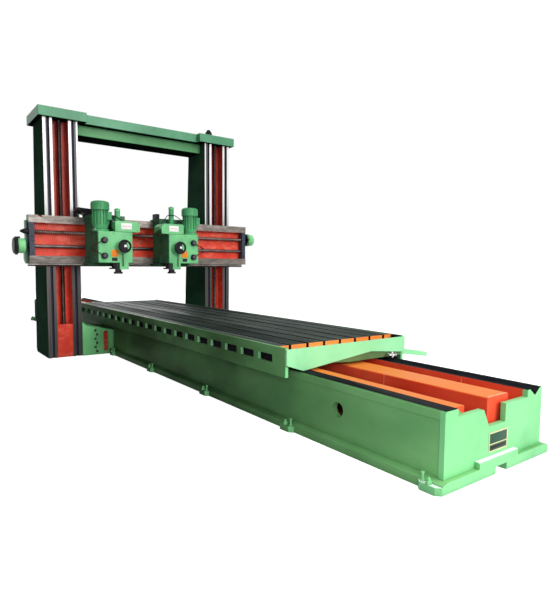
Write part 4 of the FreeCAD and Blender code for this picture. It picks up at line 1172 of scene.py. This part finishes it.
@dataclass
class Crossrail:
    """The crossrail with its guideways, feed screw and shaft, and the drives on its ends."""

    recess_y: float = -0.03
    way_low_z: float = 1.45
    way_high_z: float = 2.1
    screw_above_z: float = 1.8
    left_rim_x: float = -1.969
    left_hub_x: float = -1.868
    right_root_x: float = 1.870
    right_step_x: float = 1.915
    right_rim_x: float = 2.007
    facing_thick: float = 0.0012
    facing_inset: float = 0.001
    seal_height: float = 0.018
    shaft_y: float = -0.108
    upper_shaft_z: float = 1.884
    lower_shaft_z: float = 1.676
    index_x: Pair = (-1.965, -1.930)
    index_half_width: float = 0.019
    index_z: Pair = (0.100, 0.130)
    left_tick_x: float = -1.959
    right_tick_x: float = 1.922
    left_drum_radius: float = 0.106
    right_drum_radius: float = 0.100
    tick_count: int = 60
    tick_halves: Pair = (0.010, 0.005)
    plate_half: float = 0.034
    screw_radius: float = 0.009
    screw_from_shaft: float = 0.075

    def is_black(self, c: Vector, n: Vector) -> bool:
        """Tell the black parts of the feed drives from the green ones.

        Args:
            c: A face's centre.
            n: Its normal.

        Returns:
            Whether the face is black.
        """
        if c.x < 0.0:
            return c.x < self.left_rim_x or c.x > self.left_hub_x or c.z > self.screw_above_z
        step = c.x < self.right_step_x and abs(n.x) > LEANING
        return c.x < self.right_root_x or step or c.x > self.right_rim_x

    def build(self) -> None:
        """Finish the rail and what is fixed to it."""
        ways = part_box("rail_ways")[0]
        dress("crossrail", [
            # The rail's underside gets OLIVE's painted shade.
            (lambda c, n: n.z < -SQUARE and c.z < ways.z, Coat.OLIVE),
            (lambda c, n: n.y < -SQUARE and c.y < self.recess_y, Coat.RED),
        ], Coat.GREEN)
        dress("rail_ways", [
            (lambda c, n: n.y < -SQUARE and c.y < ways.y + ON_PLANE, Coat.RAIL_WAY),
            (lambda c, n: not self.way_low_z <= c.z <= self.way_high_z, Coat.RAIL_WAY),
            (lambda c, n: abs(n.x) > SQUARE, Coat.RAIL_WAY),
        ], Coat.RED)
        dress("rail_end_plates", [], Coat.SLATE)
        dress("feed_shafts", [(lambda c, n: c.z > self.screw_above_z, Coat.FEED_SCREW)], Coat.FEED_SHAFT)
        dress("gear_cover", [], Coat.GEAR_COVER)
        dress("feed_dials", [(self.is_black, Coat.BLACK)], Coat.GREEN)
        self.foot_facing()
        self.dial_fittings()
        self.plate_screws()

    def foot_facing(self) -> None:
        """Show the machined edge of the rail's back plate under the lower guideway."""
        low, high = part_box("rail_ways")
        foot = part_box("crossrail")[0].z
        change = foot + self.seal_height
        inset = self.facing_inset
        x0, x1 = low.x + inset, high.x - inset
        for name, z0, z1, coat, slot in (
            ("crossrail_foot_facing", change, low.z, Coat.FOOT_FACE, "scraped_iron"),
            ("crossrail_foot_seal", foot + inset, change, Coat.RUBBER, "black_enamel"),
        ):
            strip = Draft(name, "rail", coat, slot)
            strip.block((x0, high.y - self.facing_thick, z0), (x1, high.y, z1), 0.0003)
            strip.close()

    def dial_fittings(self) -> None:
        """Add the index block on the left drum and the graduations of both drums."""
        y, z = self.shaft_y, self.lower_shaft_z
        x0, x1 = self.index_x
        rise0, rise1 = self.index_z
        index = Draft("left_dial_index_block", "rail", Coat.BLACK, "black_enamel")
        w = self.index_half_width
        index.block((x0, y - w, z + rise0), (x1, y + w, z + rise1), 0.004)
        index.close()
        ticks = Draft("dial_graduations", "rail", Coat.BOLT, "black_enamel")
        long, short = self.tick_halves
        for x, z, radius in (
            (self.left_tick_x, self.lower_shaft_z, self.left_drum_radius),
            (self.right_tick_x, self.upper_shaft_z, self.right_drum_radius),
        ):
            for i in range(self.tick_count):
                angle = 2.0 * math.pi * i / self.tick_count
                middle = Vector((x, y + radius * math.sin(angle), z + radius * math.cos(angle)))
                half = Vector((short if i % 5 else long, 0.0008, 0.0006))
                ticks.block(middle - half, middle + half, 0.0002, Matrix.Rotation(-angle, 3, "X"))
        ticks.close()

    def plate_screws(self) -> None:
        """Add the cap screws that hold the bearing plates in the rail's ends."""
        low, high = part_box("rail_end_plates")
        gap = self.screw_from_shaft
        screws = Draft("bearing_plate_screws", "rail", Coat.BOLT, "black_enamel")
        for side in SIDES:
            x = side * (high.x - self.plate_half)
            for z in (low.z + 0.045, self.lower_shaft_z + gap, self.upper_shaft_z - gap, high.z - 0.040):
                screws.cap_screw((x, low.y, z), AHEAD, self.screw_radius)
        screws.close()


@dataclass
class MillingHead:
    """One vertical milling head on its saddle.

    Offsets named u go from the head's centre line towards the other head.
    """

    side: str
    centre_x: float
    toward: float
    wiper_z: float = 2.152
    side_face_top_z: float = 1.95
    tube_low_z: float = 2.07
    label_thick: float = 0.0015
    spindle: Pair = (0.109, -0.540)
    motor: Pair = (-0.171, -0.626)
    motor_foot_z: float = 1.923
    knob_u: float = -0.163
    knob_z: Pair = (1.768, 1.545)
    knob_end: float = 0.040
    knob_cap: Profile = ((0.029, 0.0), (0.029, 0.003), (0.022, 0.006))
    wheel: Triple = (0.104, -0.855, 1.685)
    wheel_ring: float = 0.0825
    wheel_grip: float = 0.0145
    web_radii: Pair = (0.020, 0.078)
    web_half_thick: float = 0.0025
    hub_dome: Profile = ((0.023, 0.016), (0.023, 0.021), (0.020, 0.026), (0.013, 0.030), (0.005, 0.032))
    housing_screws: Profile = (
        (-0.234, 1.872), (-0.234, 1.660), (-0.234, 1.468), (-0.030, 1.872), (0.228, 1.872),
        (0.330, 1.925), (0.020, 1.925),
    )
    housing_screw_radius: float = 0.008
    motor_bolt_circle: float = 0.105
    motor_nut_across: float = 0.016
    gib_x: float = 0.262
    gib_z: tuple[float, ...] = (1.455, 1.520, 2.030, 2.095)
    gib_half_pitch: float = 0.070
    gib_across: float = 0.018
    grille_radii: tuple[float, ...] = (0.030, 0.048, 0.066, 0.084)
    grille_wire: float = 0.0032
    slot_u: float = 0.104
    slot_half: float = 0.009
    rib_reach: float = 0.021
    slot_z: Pair = (1.395, 1.585)
    valve_low: Triple = (-0.013, -0.600, 1.932)
    valve_high: Triple = (0.048, -0.560, 2.085)
    valve_face: Triple = (0.018, -0.600, 2.050)
    valve_stem: Triple = (0.018, -0.580, 2.085)
    valve_cap: Triple = (0.018, -0.622, 2.050)
    tube_ring: Profile = ((0.041, 0.0), (0.0425, 0.002), (0.0425, 0.016), (0.041, 0.018))
    tube_ring_drop: float = 0.030
    tube_square: Profile = ((0.018, 0.0), (0.018, 0.010), (0.014, 0.013))

    def at(self, u: float, y: float, z: float) -> Vector:
        """Give a point from the head's own offset."""
        return Vector((self.centre_x + self.toward * u, y, z))

    def draft(
        self, name: str, coat: Coat, slot: str, body: str = "head", smooth_deg: float = 35.0
    ) -> Draft:
        """Start a piece of this head."""
        return Draft(f"{self.side}_{name}", f"{self.side}_{body}", coat, slot, smooth_deg)

    def box(self, node: str) -> tuple[Vector, Vector]:
        """Give the box of one of this head's nodes."""
        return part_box(f"{self.side}_{node}")

    def finish_castings(self) -> None:
        """Paint the head's castings and finish its steel parts."""
        for node, rules, rest in (
            # The saddle gets SADDLE's painted shade, and the housing's side faces get HEAD_SIDE's.
            ("saddle", [(lambda c, n: c.z > self.wiper_z, Coat.BLACK)], Coat.SADDLE),
            ("head_housing", [
                (lambda c, n: n.x < -SLOPED and c.z < self.side_face_top_z, Coat.HEAD_SIDE),
                (lambda c, n: c.z > self.tube_low_z, Coat.MOTOR),
            ], Coat.HEAD),
            ("drive_motor", [], Coat.MOTOR),
            ("motor_lead", [], Coat.RUBBER),
            ("head_levers", [], Coat.BLACK),
            ("quill", [], Coat.BOLT),
            ("spindle_nose", [], Coat.BOLT),
            ("handwheel", [], Coat.BLACK),
        ):
            dress(f"{self.side}_{node}", rules, rest)

    def labels(self) -> None:
        """Add the blank labels on the head's front."""
        front = self.box("head_housing")[0].y
        thick = self.label_thick
        for name, coat, u0, u1, z0, z1, proud in (
            ("ear_label", Coat.WHITE_PLATE, 0.087, 0.244, 1.934, 2.023, 0.0),
            ("ear_label_band", Coat.RED_BAND, 0.099, 0.232, 1.974, 1.983, 0.0004),
            ("orange_field", Coat.ORANGE_PLATE, -0.065, 0.041, 1.533, 1.633, 0.0),
            ("black_field", Coat.BLACK_PLATE, -0.056, 0.023, 1.471, 1.521, 0.0),
        ):
            label = self.draft(name, coat, "green_enamel")
            label.block(self.at(u0, front - thick - proud, z0), self.at(u1, front + thick, z1), 0.0006)
            label.close()

    def controls(self) -> None:
        """Add the caps of the knobs and the handwheel's round grip, web and hub."""
        front = self.box("head_housing")[0].y
        caps = self.draft("knob_caps", Coat.GREY_CAP, "black_enamel")
        for z in self.knob_z:
            caps.turned(self.at(self.knob_u, front - self.knob_end, z), AHEAD, self.knob_cap, 28)
        caps.close()
        centre = self.at(*self.wheel)
        grip = self.draft("handwheel_grip", Coat.BLACK, "black_enamel", "feed_wheel", 80.0)
        grip.ring(centre, AHEAD, self.wheel_ring, self.wheel_grip)
        grip.close()
        # The web leaves a third of the wheel open.
        web = self.draft("handwheel_web", Coat.BLACK, "black_enamel", "feed_wheel")
        for degrees in ((70.0, 190.0), (190.0, 310.0)):
            web.sector(centre, self.web_radii, degrees, self.web_half_thick)
        web.close()
        hub = self.draft("handwheel_hub_cap", Coat.CHROME, "bright_steel", "feed_wheel")
        hub.turned(centre, AHEAD, self.hub_dome, 28)
        hub.close()

    def fasteners(self) -> None:
        """Add the housing's cap screws, the motor's foot nuts, gib screws and fan grille."""
        front = self.box("head_housing")[0].y
        screws = self.draft("housing_screws", Coat.HEAD, "green_enamel")
        for u, z in self.housing_screws:
            screws.cap_screw(self.at(u, front, z), AHEAD, self.housing_screw_radius)
        screws.close()
        nuts = self.draft("motor_foot_nuts", Coat.STEEL, "bright_steel")
        circle = self.motor_bolt_circle
        for i in range(6):
            angle = math.radians(30.0 + 60.0 * i)
            offset = Vector((circle * math.cos(angle), circle * math.sin(angle), 0.0))
            seat = self.at(*self.motor, self.motor_foot_z) + offset
            nuts.bolt(seat, UP, self.motor_nut_across, 0.7 * i)
        nuts.close()
        gibs = self.draft("gib_screws", Coat.BOLT, "black_enamel")
        middle = (self.box("saddle")[0].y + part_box("rail_ways")[0].y) / 2.0
        for side in SIDES:
            for z in self.gib_z:
                for y in (middle - self.gib_half_pitch, middle + self.gib_half_pitch):
                    seat = (self.centre_x + side * self.gib_x, y, z)
                    gibs.bolt(seat, Vector((side, 0.0, 0.0)), self.gib_across, 0.4)
        gibs.close()
        grille = self.draft("fan_grille", Coat.BLACK, "black_enamel", smooth_deg=80.0)
        cowl = self.at(*self.motor, self.box("drive_motor")[1].z)
        for radius in self.grille_radii:
            grille.ring(cowl, UP, radius, self.grille_wire)
        grille.close()

    def depth_slot(self) -> None:
        """Add the dark depth slot's lining below the handwheel, and the pale ribs beside it."""
        front = self.box("head_housing")[0].y
        lining = self.draft("depth_slot_lining", Coat.BLACK_PLATE, "black_enamel")
        ribs = self.draft("depth_slot_ribs", Coat.HEAD, "green_enamel")
        for piece, u0, u1, proud, bevel in (
            (lining, -self.slot_half, self.slot_half, 0.0015, 0.0006),
            (ribs, -self.rib_reach, -self.slot_half, 0.004, 0.002),
            (ribs, self.slot_half, self.rib_reach, 0.004, 0.002),
        ):
            foot = self.at(self.slot_u + u0, front - proud, self.slot_z[0])
            piece.block(foot, self.at(self.slot_u + u1, front + 0.001, self.slot_z[1]), bevel)
        lining.close()
        ribs.close()

    def oil_fittings(self) -> None:
        """Add the black oil valve between the motor and the tube, with its grey cap."""
        valve = self.draft("oil_valve", Coat.BLACK, "black_enamel")
        valve.block(self.at(*self.valve_low), self.at(*self.valve_high), 0.012)
        valve.turned(self.at(*self.valve_face), AHEAD, [(0.030, 0.0), (0.030, 0.022)], 24)
        valve.turned(self.at(*self.valve_stem), UP, [(0.012, 0.0), (0.012, 0.030)], 16)
        valve.close()
        cap = self.draft("oil_valve_cap", Coat.GREY_CAP, "black_enamel")
        cap.turned(self.at(*self.valve_cap), AHEAD, [(0.022, 0.0), (0.018, 0.007)], 24)
        cap.close()

    def tube_top(self) -> None:
        """Add the ring and the drawbar's square on top of the tube."""
        top = self.at(*self.spindle, self.box("head_housing")[1].z)
        ring = self.draft("tube_ring", Coat.HEAD, "green_enamel")
        ring.turned(top - UP * self.tube_ring_drop, UP, self.tube_ring, 32)
        ring.turned(top, UP, self.tube_square, 4, 0.4)
        ring.close()

    def build(self) -> None:
        """Finish the head and add its labels, controls and fasteners."""
        self.finish_castings()
        self.labels()
        self.controls()
        self.fasteners()
        self.depth_slot()
        self.oil_fittings()
        self.tube_top()


@dataclass(frozen=True)
class Lamp:
    """A square area lamp, aimed at a point."""

    name: str
    place: Triple
    target: Triple
    size: float
    power: float

    def build(self) -> None:
        """Hang the lamp."""
        data = bpy.data.lights.new(self.name, "AREA")
        data.shape = "SQUARE"
        data.size = self.size
        data.energy = self.power
        lamp = bpy.data.objects.new(self.name, data)
        lamp.location = self.place
        aim = Vector(self.target) - Vector(self.place)
        lamp.rotation_euler = aim.to_track_quat("-Z", "Y").to_euler()
        bpy.context.scene.collection.objects.link(lamp)


@dataclass
class Studio:
    """A pale floor, soft lights and the camera."""

    camera_at: Triple = (-3.338, -8.171, 1.436)
    yaw_deg: float = 36.648
    pitch_deg: float = 4.710
    roll_deg: float = 0.472
    focal_px: float = 512.47
    frame_height_px: float = 614.0
    sensor_mm: float = 36.0
    clip_end: float = 200.0
    world_fill: float = 0.17
    floor_half: float = 60.0
    floor_drop: float = 0.0005
    floor_grey: float = 0.80
    floor_glow: float = 0.88
    floor_bounce: float = 0.42
    lamps: tuple[Lamp, ...] = (
        Lamp("key", (3.5, -17.0, 6.0), (0.0, -3.0, 1.0), 6.0, 1520.0),
        Lamp("bed_fill", (-5.0, -10.0, 2.6), (-0.6, -5.6, 0.3), 2.5, 175.0),
        Lamp("top", (0.6, -6.5, 8.5), (0.2, -4.0, 0.0), 6.0, 380.0),
        Lamp("back", (6.0, 15.0, 6.0), (0.0, 2.0, 1.2), 6.0, 520.0),
    )

    def camera(self) -> None:
        """Place the camera where the photographer stood."""
        yaw, pitch, roll = (math.radians(a) for a in (self.yaw_deg, self.pitch_deg, self.roll_deg))
        level = math.cos(pitch)
        ahead = Vector((math.sin(yaw) * level, math.cos(yaw) * level, -math.sin(pitch)))
        right = Vector((math.cos(yaw), -math.sin(yaw), 0.0))
        up = right.cross(ahead)
        tilted_right = right * math.cos(roll) + up * math.sin(roll)
        tilted_up = up * math.cos(roll) - right * math.sin(roll)
        data = bpy.data.cameras.new("camera")
        data.sensor_width = self.sensor_mm
        data.lens = self.focal_px / self.frame_height_px * self.sensor_mm
        data.clip_end = self.clip_end
        camera = bpy.data.objects.new("camera", data)
        basis = Matrix((tilted_right, tilted_up, -ahead)).transposed().to_4x4()
        camera.matrix_world = Matrix.Translation(self.camera_at) @ basis
        bpy.context.scene.collection.objects.link(camera)
        bpy.context.scene.camera = camera

    def world(self) -> None:
        """Set a world that looks white, but fills the shadows only a little."""
        world = bpy.data.worlds.new("studio")
        bpy.context.scene.world = world
        tree = empty_tree(world)
        seen = seen_by(tree, ("Is Camera Ray", "Is Glossy Ray", "Is Transmission Ray"))
        levels = {0: seen, 1: 0.0, 2: 1.0, 3: self.world_fill, 4: 1.0}
        strength = add_node(tree, "ShaderNodeMapRange", levels).outputs[0]
        white = {"Color": (1.0, 1.0, 1.0, 1.0), "Strength": strength}
        background = add_node(tree, "ShaderNodeBackground", white)
        add_node(tree, "ShaderNodeOutputWorld", {"Surface": background.outputs[0]})

    def floor(self) -> None:
        """Lay the pale floor, which keeps the machine's shadow and bounces little light."""
        mesh = bmesh.new()
        bmesh.ops.create_grid(mesh, x_segments=1, y_segments=1, size=self.floor_half)
        data = bpy.data.meshes.new("floor")
        mesh.to_mesh(data)
        mesh.free()
        floor = bpy.data.objects.new("floor", data)
        floor.location = (0.0, 0.0, -self.floor_drop)
        bpy.context.scene.collection.objects.link(floor)
        material = bpy.data.materials.new("pale_floor")
        tree = empty_tree(material)
        seen = seen_by(tree, ("Is Camera Ray", "Is Glossy Ray"))
        pale, dull = (
            add_node(tree, "ShaderNodeBsdfDiffuse", {"Color": (grey, grey, grey, 1.0)}).outputs[0]
            for grey in (self.floor_grey, self.floor_bounce)
        )
        white = {"Color": (1.0, 1.0, 1.0, 1.0), "Strength": self.floor_glow}
        glow = add_node(tree, "ShaderNodeEmission", white).outputs[0]
        bright = add_node(tree, "ShaderNodeAddShader", {0: pale, 1: glow}).outputs[0]
        mixed = add_node(tree, "ShaderNodeMixShader", {0: seen, 1: dull, 2: bright}).outputs[0]
        add_node(tree, "ShaderNodeOutputMaterial", {"Surface": mixed})
        data.materials.append(material)

    def build(self) -> None:
        """Set the whole studio."""
        self.camera()
        for lamp in self.lamps:
            lamp.build()
        self.world()
        self.floor()
        bpy.context.scene.view_settings.view_transform = "Standard"


def main() -> None:
    """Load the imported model, dress it, add the small hardware and set the studio."""
    logging.basicConfig(level=logging.INFO, format="%(name)s: %(message)s")
    NODES.update(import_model()["nodes"])
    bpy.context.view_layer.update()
    heads = (MillingHead("left", -0.791, 1.0), MillingHead("right", 0.290, -1.0))
    for part in (Bed(), Columns(), WorkTable(), Crossrail(), *heads, Studio()):
        part.build()
        LOG.info("built the %s %s", getattr(part, "side", "whole"), type(part).__name__)


if __name__ == "__main__":
    main()
